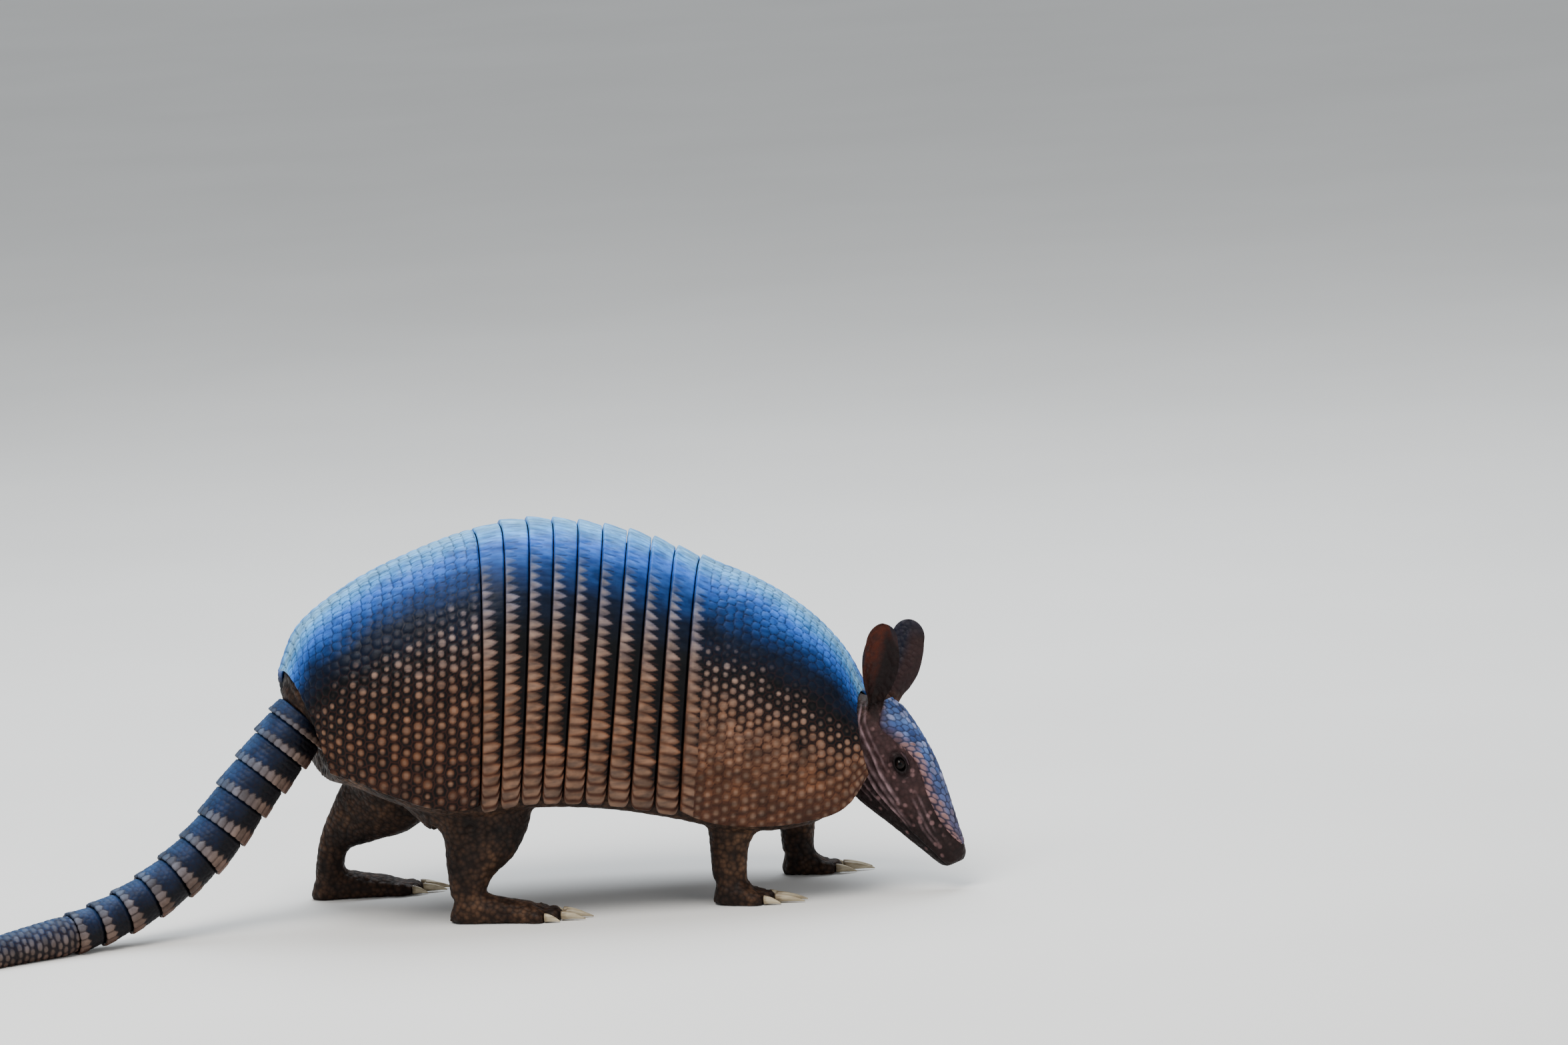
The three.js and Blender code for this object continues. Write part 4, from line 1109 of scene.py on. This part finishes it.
def skin_grain(points):
    """Coarse wrinkles of bare skin: waves across the limb and belly, bent by slower waves, and rings of folds
    round the root of the tail."""
    x, y, z = points.T
    bend = 2.2 * np.sin(x * 0.09 + y * 0.05) + 1.8 * np.sin(z * 0.12 - y * 0.07)
    first = np.sin(z * 1.25 + bend) * np.sin(x * 0.55 + bend)
    second = np.sin(x * 1.5 + y * 0.8 + bend * 1.3) * np.sin(z * 0.9 - y * 1.3)
    from_tail = np.linalg.norm(points - tail_points[0], axis=1)
    folds = np.sin(from_tail * 1.3 + 0.8 * np.sin(z * 0.2)) * smoothstep(44, 26, from_tail)
    return 0.16 * first + 0.12 * second + 0.5 * folds


def covered_by_shell(points):
    """1 for the points well under the shell, where nobody sees the skin, and 0 elsewhere."""
    x, _, z = points.T
    rim_height = np.interp(x, SHELL_ROWS[:, 3], SHELL_ROWS[:, 4])
    return ((z > rim_height + 14) & (x > -18) & (x < 240)).astype(float)


HIDDEN_DEPTH = 3.0
HIDDEN_KEEP = 0.12       # share of the hidden faces that stay


def thin_out(piece, hidden, keep):
    """Draws the hidden points in and collapses edges there, until the kept share of those faces is left."""
    points = read_points(piece.data)
    write_points(piece.data, points - read_normals(piece.data) * (HIDDEN_DEPTH * hidden)[:, None])
    group = piece.vertex_groups.new(name="hidden")
    group.add(np.flatnonzero(hidden).tolist(), 1.0, "REPLACE")
    use_modifier(piece, "DECIMATE", ratio=1 - (1 - keep) * hidden.mean(), vertex_group="hidden")
    piece.vertex_groups.clear()


def refine(mesh, chosen):
    """Splits each chosen face in four."""
    work = bmesh.new()
    work.from_mesh(mesh)
    work.faces.ensure_lookup_table()
    edges = {edge for index in np.flatnonzero(chosen) for edge in work.faces[index].edges}
    bmesh.ops.subdivide_edges(work, edges=list(edges), cuts=1, use_grid_fill=True)
    work.to_mesh(mesh)
    work.free()
    mesh.update()


def on_ear(points):
    """How much a point belongs to an ear, whether it lies on the hollow side, and how deep it is in shade
    there: toward the root and toward the front edge."""
    belongs = np.zeros(len(points))
    inner = np.zeros(len(points))
    shade = np.zeros(len(points))
    for side in EARS:
        root, up, across, hollow = ear_frame(side)
        away = points - root
        h = away @ up / EAR_HEIGHT
        half_width, curl = ear_row(np.clip(h, 0, 1))
        v = away @ across / half_width
        depth = away @ hollow - curl * v * v
        near = (h > -0.05) & (h < 1.05) & (np.abs(v) < 1.2) & (np.abs(depth) < 2.6)
        belongs = np.where(near, np.maximum(belongs, smoothstep(0.02, 0.16, h)), belongs)
        inner = np.where(near, smoothstep(-0.2, 0.2, depth), inner)
        front = v * (1 if across[0] > 0 else -1)
        deep = smoothstep(0.75, 0.05, h) * 0.9 + smoothstep(-0.1, 0.45, front) * smoothstep(1.0, 0.75, h)
        shade = np.where(near, np.clip(deep, 0, 1), shade)
    return belongs, inner, shade


FINE_EYE_REACH = 11.0
NOSTRIL_DEPTH = 2.6


def shape_head(skin):
    """A finer mesh on the head and round the eyes, then its relief and the masks for its colours."""
    mesh = skin.data
    middles = face_middles(mesh)
    length, _, _, reach = head_place(middles)
    on_head = (length > -6) & (length < 101) & (reach < 1.25)
    refine(mesh, on_head & (on_ear(middles)[0] < 0.2) & (middles[:, 2] > 0))
    middles = face_middles(mesh)
    at_eye = np.zeros(len(middles), bool)
    for side in (1, -1):
        centre, outward, _, _ = eye_frame(side)
        away = middles - centre
        at_eye |= (np.linalg.norm(away, axis=1) < FINE_EYE_REACH) & (away @ outward > -3)
    refine(mesh, at_eye)
    points = read_points(mesh)
    length, _, _, reach = head_place(points)
    ear, inner, shade = on_ear(points)
    on_head = smoothstep(-8, 2, length) * (reach < 1.35) * (1 - smoothstep(0, 0.2, ear))
    points = relaxed(mesh, points, 4, 0.5 * on_head)
    write_points(mesh, points)
    normals = read_normals(mesh)
    eye_rise, socket = eye_relief(points)
    fold_rise, pale, mouth = head_relief(points)
    pit = nostril_push(points)
    rise = eye_rise + fold_rise * (1 - socket) * (1 - ear)
    rise = rise + skin_grain(points) * (1 - ear) * (1 - 0.6 * on_head)
    points = points + normals * rise[:, None] - head_forward * (NOSTRIL_DEPTH * pit)[:, None]
    points[:, 2] = np.maximum(points[:, 2], 0)
    write_points(mesh, points)
    # Painted shade in the eye sockets, the mouth's crease and the nostril pits.
    recess_shade = np.clip(socket + 0.9 * mouth + pit, 0, 1)
    head_share = smoothstep(-14, 12, length) * (reach < 1.5)
    store(mesh, "skin_kind", np.stack([head_share, pale * (1 - socket), recess_shade], axis=1))
    store(mesh, "ear_kind", np.stack([ear, inner, shade], axis=1))
    _, angle, _, _ = head_place(points)
    store(mesh, "snout", smoothstep(30, 85, length) * head_share)
    # Share of the underside of the head, which the skin's material darkens as painted shade.
    store(mesh, "jaw", smoothstep(1.6, 2.4, np.abs(angle)) * head_share)


def body_skin():
    """One skin over trunk, neck, head, ears, legs and feet. The bodies are merged by voxels and smoothed,
    less on the snout, the feet and the tail root. The faces hidden by the shell are thinned out, the ears are
    joined on, and the head gets a finer mesh, from which folds, lids, mouth and nostrils are raised."""
    bodies = [trunk_rings(), limb_rings(NECK_ROWS), head_rings()]
    bodies += [limb_rings(rows) for rows in LEGS.values()]
    bodies += [body for foot in FEET for body in foot_bodies(foot)]
    skin = merged("body_skin", bodies)
    use_modifier(skin, "REMESH", mode="VOXEL", voxel_size=SKIN_VOXEL * METRES, use_smooth_shade=True)
    points = read_points(skin.data)
    length, _, _, reach = head_place(points)
    on_snout = smoothstep(8, 30, length) * (reach < 1.4)
    on_foot = smoothstep(20, 10, points[:, 2])
    at_tail = smoothstep(-20, -34, points[:, 0]) * smoothstep(70, 90, points[:, 2])
    weight = 0.5 * (1 - 0.75 * on_snout) * (1 - 0.6 * on_foot) * (1 - 0.75 * at_tail)
    points = relaxed(skin.data, points, 9, weight)
    points[:, 2] = np.maximum(points[:, 2], 0)
    write_points(skin.data, points)
    thin_out(skin, covered_by_shell(points), HIDDEN_KEEP)
    for side in EARS:
        ear = merged("ear_leaf", [ear_loop(side)])
        use_modifier(skin, "BOOLEAN", operation="UNION", solver="MANIFOLD", object=ear)
        bpy.data.objects.remove(ear)
    shape_head(skin)
    return skin


# ---------------------------------------------------------------- materials

WHITE = (255, 255, 255)


def paint(red, green, blue):
    """A colour given as screen values from 0 to 255, as the linear values a shader wants."""
    values = np.array([red, green, blue]) / 255
    linear = np.where(values <= 0.04045, values / 12.92, ((values + 0.055) / 1.055) ** 2.4)
    return (*[float(value) for value in linear], 1.0)


def add_node(tree, kind, inputs=None, **settings):
    """One shader node. An input is a number, a colour or another node's output socket."""
    node = tree.nodes.new(kind)
    for key, value in settings.items():
        setattr(node, key, value)
    for key, value in (inputs or {}).items():
        if isinstance(value, bpy.types.NodeSocket):
            tree.links.new(value, node.inputs[key])
        else:
            node.inputs[key].default_value = value
    return node


def blend(tree, share, first, second, mode="MIX"):
    """A colour that goes from the first to the second, or to their product, by a share from 0 to 1."""
    node = add_node(tree, "ShaderNodeMix", {0: share, 6: first, 7: second}, data_type="RGBA", blend_type=mode)
    return node.outputs[2]


def tinted(tree, share, colour, tint):
    """A colour multiplied by a tint, as far as the share says."""
    return blend(tree, share, colour, tint, "MULTIPLY")


def sums(tree, operation, first, second=0.0, third=0.0, clamp=False):
    """A number worked out from two or three."""
    inputs = {0: first, 1: second, 2: third}
    return add_node(tree, "ShaderNodeMath", inputs, operation=operation, use_clamp=clamp).outputs[0]


def scaled(tree, value, factor):
    """A number times another."""
    return sums(tree, "MULTIPLY", value, factor)


def run_through(tree, factor, stops):
    """A colour that runs through stops of (place, linear colour)."""
    node = add_node(tree, "ShaderNodeValToRGB", {0: factor})
    elements = node.color_ramp.elements
    while len(elements) < len(stops):
        elements.new(0.5)
    for element, (position, colour) in zip(elements, stops):
        element.position = position
        element.color = colour
    return node.outputs[0]


def ramp(tree, factor, *stops):
    """A colour that runs through stops of (place, (red, green, blue)), in screen values."""
    return run_through(tree, factor, [(position, paint(*colour)) for position, colour in stops])


def levels(tree, factor, *stops):
    """A number that runs through stops of (place, value)."""
    return run_through(tree, factor, [(position, (value, value, value, 1)) for position, value in stops])


def object_place(tree):
    """The object's own coordinates, in metres."""
    return add_node(tree, "ShaderNodeTexCoord").outputs["Object"]


def noise(tree, scale, detail=3.0, roughness=0.55, stretch=(1, 1, 1)):
    """Cloudy noise on the object's own coordinates, drawn out along an axis by a small stretch."""
    mapped = add_node(tree, "ShaderNodeMapping", {"Vector": object_place(tree), "Scale": stretch}).outputs[0]
    inputs = {"Vector": mapped, "Scale": scale, "Detail": detail, "Roughness": roughness}
    return add_node(tree, "ShaderNodeTexNoise", inputs).outputs[0]


def cell_distance(tree, scale):
    """The distance to the nearest of many scattered points."""
    inputs = {"Vector": object_place(tree), "Scale": scale}
    return add_node(tree, "ShaderNodeTexVoronoi", inputs).outputs["Distance"]


def read_number(tree, name):
    """A number stored on the mesh."""
    node = add_node(tree, "ShaderNodeAttribute", attribute_name=name, attribute_type="GEOMETRY")
    return node.outputs["Fac"]


def read_vector(tree, name):
    """The three parts of a vector stored on the mesh."""
    node = add_node(tree, "ShaderNodeAttribute", attribute_name=name, attribute_type="GEOMETRY")
    return add_node(tree, "ShaderNodeSeparateXYZ", {0: node.outputs["Vector"]}).outputs


def grimed(tree, share, colour, scale, dirt, start=0.3):
    """A colour under clouds of dirt."""
    return tinted(tree, share, colour, ramp(tree, noise(tree, scale, 4), (start, dirt), (0.62, WHITE)))


def new_material(name):
    """A material with one Principled shader. Returns it, its tree and the shader."""
    material = bpy.data.materials.new(name)
    material.use_nodes = True
    tree = material.node_tree
    tree.nodes.clear()
    shader = add_node(tree, "ShaderNodeBsdfPrincipled")
    output = add_node(tree, "ShaderNodeOutputMaterial")
    tree.links.new(shader.outputs[0], output.inputs[0])
    return material, tree, shader


def set_surface(tree, shader, colour, pattern, smooth, rough):
    """Base colour, and a roughness that goes from smooth to rough with a pattern."""
    tree.links.new(colour, shader.inputs["Base Color"])
    tree.links.new(levels(tree, pattern, (0.3, smooth), (0.7, rough)), shader.inputs["Roughness"])


def set_bump(tree, shader, height, strength, distance):
    """Fine relief, with its depth in metres."""
    bump = add_node(tree, "ShaderNodeBump", {"Height": height, "Strength": strength, "Distance": distance})
    tree.links.new(bump.outputs[0], shader.inputs["Normal"])


def shell_material():
    """Horn shell: near black on the flanks, with a painted sky sheen of pale to deep blue over the back, and
    pale scutes that turn from a painted blue sheen through grey to brown toward the rim, darker there partly as
    painted shade, with a painted highlight in their middles, painted shade toward the rump, dark grooves,
    fine streaks and dirt."""
    material, tree, shader = new_material("shell_horn")
    pale, groove, flank = read_vector(tree, "finish")
    height = sums(tree, "ADD", flank, sums(tree, "MULTIPLY_ADD", noise(tree, 28, 4), 0.14, -0.07))
    # The ground: the horn's own near black, under a painted sky sheen that runs from pale to deep blue over the
    # back.
    ground = ramp(tree, height, (0.0, (136, 204, 250)), (0.09, (90, 178, 255)), (0.19, (54, 120, 224)),
                  (0.3, (26, 64, 124)), (0.41, (13, 25, 46)), (0.54, (9, 11, 14)), (1.0, (16, 10, 8)))
    # Scutes: the blue high up is a painted sheen, and the darkening brown toward the rim is partly painted
    # shade.
    scute = ramp(tree, height, (0.15, (84, 132, 200)), (0.34, (104, 112, 136)), (0.50, (128, 108, 102)),
                 (0.66, (124, 88, 68)), (0.85, (108, 68, 46)), (1.0, (88, 54, 38)))
    tone = ramp(tree, read_number(tree, "tone"), (0.0, (205, 205, 205)), (1.0, WHITE))
    scute = tinted(tree, 1.0, scute, tone)
    # Painted highlight in the middle of the pale scutes.
    scute = blend(tree, scaled(tree, read_number(tree, "highlight_and_nose_share"), 0.16), scute, paint(220, 186, 158))
    # Painted shade: the scutes darken toward the rump.
    along = add_node(tree, "ShaderNodeSeparateXYZ", {0: object_place(tree)}).outputs[0]
    rump_shade = levels(tree, sums(tree, "ADD", along, 0.2), (0.02, 1), (0.26, 0))
    scute = tinted(tree, rump_shade, scute, paint(206, 188, 168))
    colour = blend(tree, pale, ground, scute)
    streaks = noise(tree, 420, 2, 0.5, (0.1, 1, 0.7))
    colour = tinted(tree, 0.75, colour, ramp(tree, streaks, (0.34, (150, 164, 186)), (0.64, WHITE)))
    colour = grimed(tree, 0.6, colour, 95, (150, 140, 132))
    seam = ramp(tree, height, (0.4, (12, 14, 26)), (0.62, (48, 26, 20)), (0.85, (56, 30, 22)))
    colour = blend(tree, scaled(tree, groove, 0.8), colour, seam)
    set_surface(tree, shader, colour, noise(tree, 140, 4), 0.34, 0.56)
    relief = sums(tree, "ADD", scaled(tree, streaks, 0.7), scaled(tree, noise(tree, 900, 3), 0.35))
    set_bump(tree, shader, relief, 0.35, 0.0006)
    shader.inputs["Specular IOR Level"].default_value = 0.1
    return material


def tail_material():
    """Tail horn: dark blue, paler on top from a painted sky sheen, with long scales that are grey above under
    the same painted sheen and brown below.
    """
    material, tree, shader = new_material("tail_horn")
    pale, groove, flank = read_vector(tree, "finish")
    height = sums(tree, "ADD", flank, sums(tree, "MULTIPLY_ADD", noise(tree, 40, 4), 0.16, -0.08))
    # A painted sky sheen makes the ground and the scales paler and bluer on top.
    ground = ramp(tree, height, (0.0, (52, 82, 124)), (0.2, (28, 48, 84)), (0.38, (18, 28, 50)),
                  (0.55, (9, 12, 20)), (1.0, (18, 13, 13)))
    scale = ramp(tree, height, (0.1, (82, 98, 124)), (0.35, (108, 104, 110)), (0.6, (120, 100, 90)),
                 (0.85, (100, 72, 60)), (1.0, (84, 60, 52)))
    tone = ramp(tree, read_number(tree, "tone"), (0.0, (196, 196, 196)), (1.0, WHITE))
    scale = tinted(tree, 1.0, scale, tone)
    colour = grimed(tree, 0.7, blend(tree, pale, ground, scale), 110, (150, 142, 136))
    colour = blend(tree, scaled(tree, groove, 0.75), colour, paint(30, 20, 22))
    set_surface(tree, shader, colour, noise(tree, 150, 4), 0.4, 0.62)
    set_bump(tree, shader, noise(tree, 700, 3), 0.3, 0.0005)
    shader.inputs["Specular IOR Level"].default_value = 0.12
    return material


def crown_material():
    """Head shield horn: blue grey scutes of many shades, brown grey toward the nose and along the sides, with
    pinkish scutes among those next to the side edges."""
    material, tree, shader = new_material("crown_horn")
    pale, groove, flank = read_vector(tree, "finish")
    tone = read_number(tree, "tone")
    # On the head shield this stored share runs toward the nose.
    toward_nose = read_number(tree, "highlight_and_nose_share")
    ground = ramp(tree, tone, (0.0, (42, 60, 108)), (0.5, (76, 104, 160)), (1.0, (124, 150, 200)))
    lower = ramp(tree, tone, (0.0, (52, 38, 44)), (0.5, (76, 62, 76)), (1.0, (108, 86, 92)))
    ground = blend(tree, scaled(tree, toward_nose, 0.85), ground, lower)
    ground = blend(tree, levels(tree, flank, (0.6, 0), (1.0, 1)), ground, paint(62, 44, 50))
    colour = blend(tree, pale, ground, paint(150, 114, 112))
    colour = grimed(tree, 0.7, colour, 130, (140, 132, 130), 0.32)
    colour = blend(tree, scaled(tree, groove, 0.8), colour, paint(28, 24, 36))
    set_surface(tree, shader, colour, noise(tree, 180, 4), 0.42, 0.62)
    set_bump(tree, shader, noise(tree, 900, 3), 0.3, 0.0004)
    shader.inputs["Specular IOR Level"].default_value = 0.18
    return material


def skin_material():
    """Bare leathery skin: dark brown with scales on the legs and belly, purple brown on the head with pale
    folds and warts, darker on the snout, with painted shade under the jaw, slate on the backs of the ears and
    red brown in their hollows, partly painted light through the thin ear and darkened by painted shade, and
    near black with painted shade in the eye sockets, mouth and nostrils."""
    material, tree, shader = new_material("bare_skin")
    head, pale, recess_shade = read_vector(tree, "skin_kind")
    ear, inner, shade = read_vector(tree, "ear_kind")
    cloud = noise(tree, 45, 5)
    fine = noise(tree, 260, 4)
    limb = ramp(tree, cloud, (0.32, (32, 22, 18)), (0.55, (62, 42, 30)), (0.72, (98, 70, 50)))
    face = ramp(tree, cloud, (0.3, (42, 27, 29)), (0.55, (68, 46, 46)), (0.75, (96, 68, 65)))
    face = blend(tree, scaled(tree, read_number(tree, "snout"), 0.9), face, paint(32, 19, 18))
    # Painted shade on the underside of the head.
    face = blend(tree, scaled(tree, read_number(tree, "jaw"), 0.8), face, paint(26, 16, 16))
    colour = blend(tree, head, limb, face)
    ear_back = ramp(tree, fine, (0.3, (22, 23, 33)), (0.7, (44, 40, 50)))
    ear_back = blend(tree, scaled(tree, shade, 0.6), ear_back, paint(58, 34, 26))
    # Ear hollows: red brown that is partly painted light shining through the thin ear, darkened by painted
    # shade toward the root and the front edge.
    ear_hollow = ramp(tree, fine, (0.3, (52, 22, 15)), (0.7, (84, 36, 22)))
    ear_hollow = blend(tree, scaled(tree, shade, 0.95), ear_hollow, paint(20, 12, 13))
    colour = blend(tree, ear, colour, blend(tree, inner, ear_back, ear_hollow))
    cells = cell_distance(tree, 330.0)
    speck = ramp(tree, cells, (0.15, WHITE), (0.7, (96, 90, 92)))
    smoother = sums(tree, "MAXIMUM", scaled(tree, head, 0.5), scaled(tree, ear, 0.75))
    speck = blend(tree, smoother, speck, paint(225, 225, 225))
    colour = tinted(tree, 0.85, colour, speck)
    wart = levels(tree, cell_distance(tree, 190.0), (0.16, 1), (0.34, 0))
    patch = levels(tree, noise(tree, 70, 2), (0.46, 0), (0.6, 1))
    face_only = sums(tree, "SUBTRACT", head, ear, clamp=True)
    wart = scaled(tree, scaled(tree, wart, patch), face_only)
    colour = blend(tree, scaled(tree, wart, 0.55), colour, paint(138, 104, 104))
    colour = blend(tree, scaled(tree, pale, 0.9), colour, paint(150, 122, 126))
    # Painted shade: near black in the eye sockets, mouth and nostrils.
    colour = blend(tree, recess_shade, colour, paint(12, 8, 9))
    set_surface(tree, shader, colour, fine, 0.5, 0.75)
    relief = sums(tree, "ADD", scaled(tree, cells, -1.0), scaled(tree, fine, 0.6))
    set_bump(tree, shader, relief, 0.8, 0.0011)
    shader.inputs["Specular IOR Level"].default_value = 0.16
    return material


def eye_material():
    """A wet eye: a black pupil, a dark brown iris and a near black rim, with a gloss."""
    material, tree, shader = new_material("wet_eye")
    spot = sums(tree, "ADD", read_number(tree, "polar"), scaled(tree, noise(tree, 900, 2), 0.06))
    colour = ramp(tree, spot, (0.36, (4, 4, 5)), (0.42, (24, 15, 12)), (0.62, (20, 12, 10)),
                  (0.74, (9, 7, 7)))
    tree.links.new(colour, shader.inputs["Base Color"])
    shader.inputs["Roughness"].default_value = 0.1
    shader.inputs["Specular IOR Level"].default_value = 0.1
    return material


def claw_material():
    """Claw horn: browner at the root, pale yellowish toward the tip, with fine streaks along it."""
    material, tree, shader = new_material("claw_horn")
    streaks = noise(tree, 420, 3, 0.6, (0.15, 1, 1))
    spot = sums(tree, "ADD", read_number(tree, "tip"), sums(tree, "MULTIPLY_ADD", streaks, 0.5, 0.5))
    colour = ramp(tree, spot, (0.15, (58, 46, 42)), (0.5, (110, 94, 78)), (0.9, (160, 144, 116)),
                  (1.0, (186, 172, 144)))
    colour = tinted(tree, 0.8, colour, ramp(tree, streaks, (0.35, (168, 160, 150)), (0.65, WHITE)))
    set_surface(tree, shader, colour, streaks, 0.3, 0.5)
    set_bump(tree, shader, streaks, 0.4, 0.0004)
    return material


def finish_piece(piece, material):
    """Gives a piece its material and its body."""
    piece.data.materials.clear()
    piece.data.materials.append(material)
    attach(piece, "root")


horn = shell_material()
for piece in shell_pieces():
    finish_piece(piece, horn)
tail_horn = tail_material()
for piece in tail_pieces():
    finish_piece(piece, tail_horn)
finish_piece(crown_shield(), crown_material())
wet_eye = eye_material()
for side in (1, -1):
    finish_piece(eyeball(side), wet_eye)
claw_horn = claw_material()
for foot in FEET:
    finish_piece(claws(foot), claw_horn)
skin = body_skin()
finish_piece(skin, skin_material())
leg_nodes = [foot.replace("_", "_leg_") for foot in FEET] + [foot.replace("_", "_foot_") for foot in FEET]
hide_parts("trunk", "neck", "head", "ear_right", "ear_left", *leg_nodes)

# ---------------------------------------------------------------- floor, light and camera


def studio_floor():
    """A wide flat square floor, a hair under the soles."""
    half, drop = 14000.0, 0.05
    outline = ((-half, -half), (half, -half), (half, half), (-half, half))
    corners = np.array([[x, y, -drop] for x, y in outline])
    mesh = bpy.data.meshes.new("studio_floor")
    mesh.from_pydata((corners * METRES).tolist(), [], [(0, 1, 2, 3)])
    floor = bpy.data.objects.new("studio_floor", mesh)
    bpy.context.scene.collection.objects.link(floor)
    material, tree, shader = new_material("floor_paper")
    colour = ramp(tree, noise(tree, 3, 2), (0.3, (228, 227, 224)), (0.7, (233, 232, 229)))
    tree.links.new(colour, shader.inputs["Base Color"])
    shader.inputs["Roughness"].default_value = 0.8
    mesh.materials.append(material)


def soft_light(name, position, size, power, colour):
    """A square soft box that looks at the middle of the animal. Position and size are in metres, power in
    watts."""
    data = bpy.data.lights.new(name, "AREA")
    data.shape = "SQUARE"
    data.size = size
    data.energy = power
    data.color = colour
    light = bpy.data.objects.new(name, data)
    middle = Vector((0.0, 0.0, 0.11))
    light.location = position
    light.rotation_euler = (Vector(position) - middle).to_track_quat("Z", "Y").to_euler()
    bpy.context.scene.collection.objects.link(light)


def studio_camera():
    """A long lens level with the animal's right side, raised and rolled a little, with its axis through one
    point. The frame is frame_width metres wide there."""
    elevation = math.radians(8.6)
    roll = math.radians(3.3)
    aim = Vector((0.2194, 0.040, 0.2131))
    lens = 200.0
    sensor = 36.0
    frame_width = 0.9055
    distance = frame_width * lens / sensor
    upright = Vector((0, math.sin(elevation), math.cos(elevation)))
    back = Vector((0, -math.cos(elevation), math.sin(elevation)))
    right = Vector((1, 0, 0)) * math.cos(roll) - upright * math.sin(roll)
    up = Vector((1, 0, 0)) * math.sin(roll) + upright * math.cos(roll)
    data = bpy.data.cameras.new("camera")
    data.lens = lens
    data.sensor_width = sensor
    data.clip_end = 60
    camera = bpy.data.objects.new("camera", data)
    turn = Matrix((right, up, back)).transposed().to_4x4()
    camera.matrix_world = Matrix.Translation(aim + back * distance) @ turn
    bpy.context.scene.collection.objects.link(camera)
    bpy.context.scene.camera = camera


studio_floor()
soft_light("key_light", (-0.4, -0.9, 2.1), 1.3, 58, (1.0, 0.97, 0.93))
soft_light("back_light", (0.2, 0.9, 1.9), 1.6, 48, (0.88, 0.94, 1.0))
soft_light("fill_light", (1.7, -1.8, 0.9), 1.6, 12, (1.0, 0.98, 0.95))
world = bpy.data.worlds.new("studio_air")
world.use_nodes = True
sky = world.node_tree.nodes["Background"]
sky.inputs["Color"].default_value = (0.82, 0.86, 0.9, 1)
sky.inputs["Strength"].default_value = 0.62
bpy.context.scene.world = world
studio_camera()
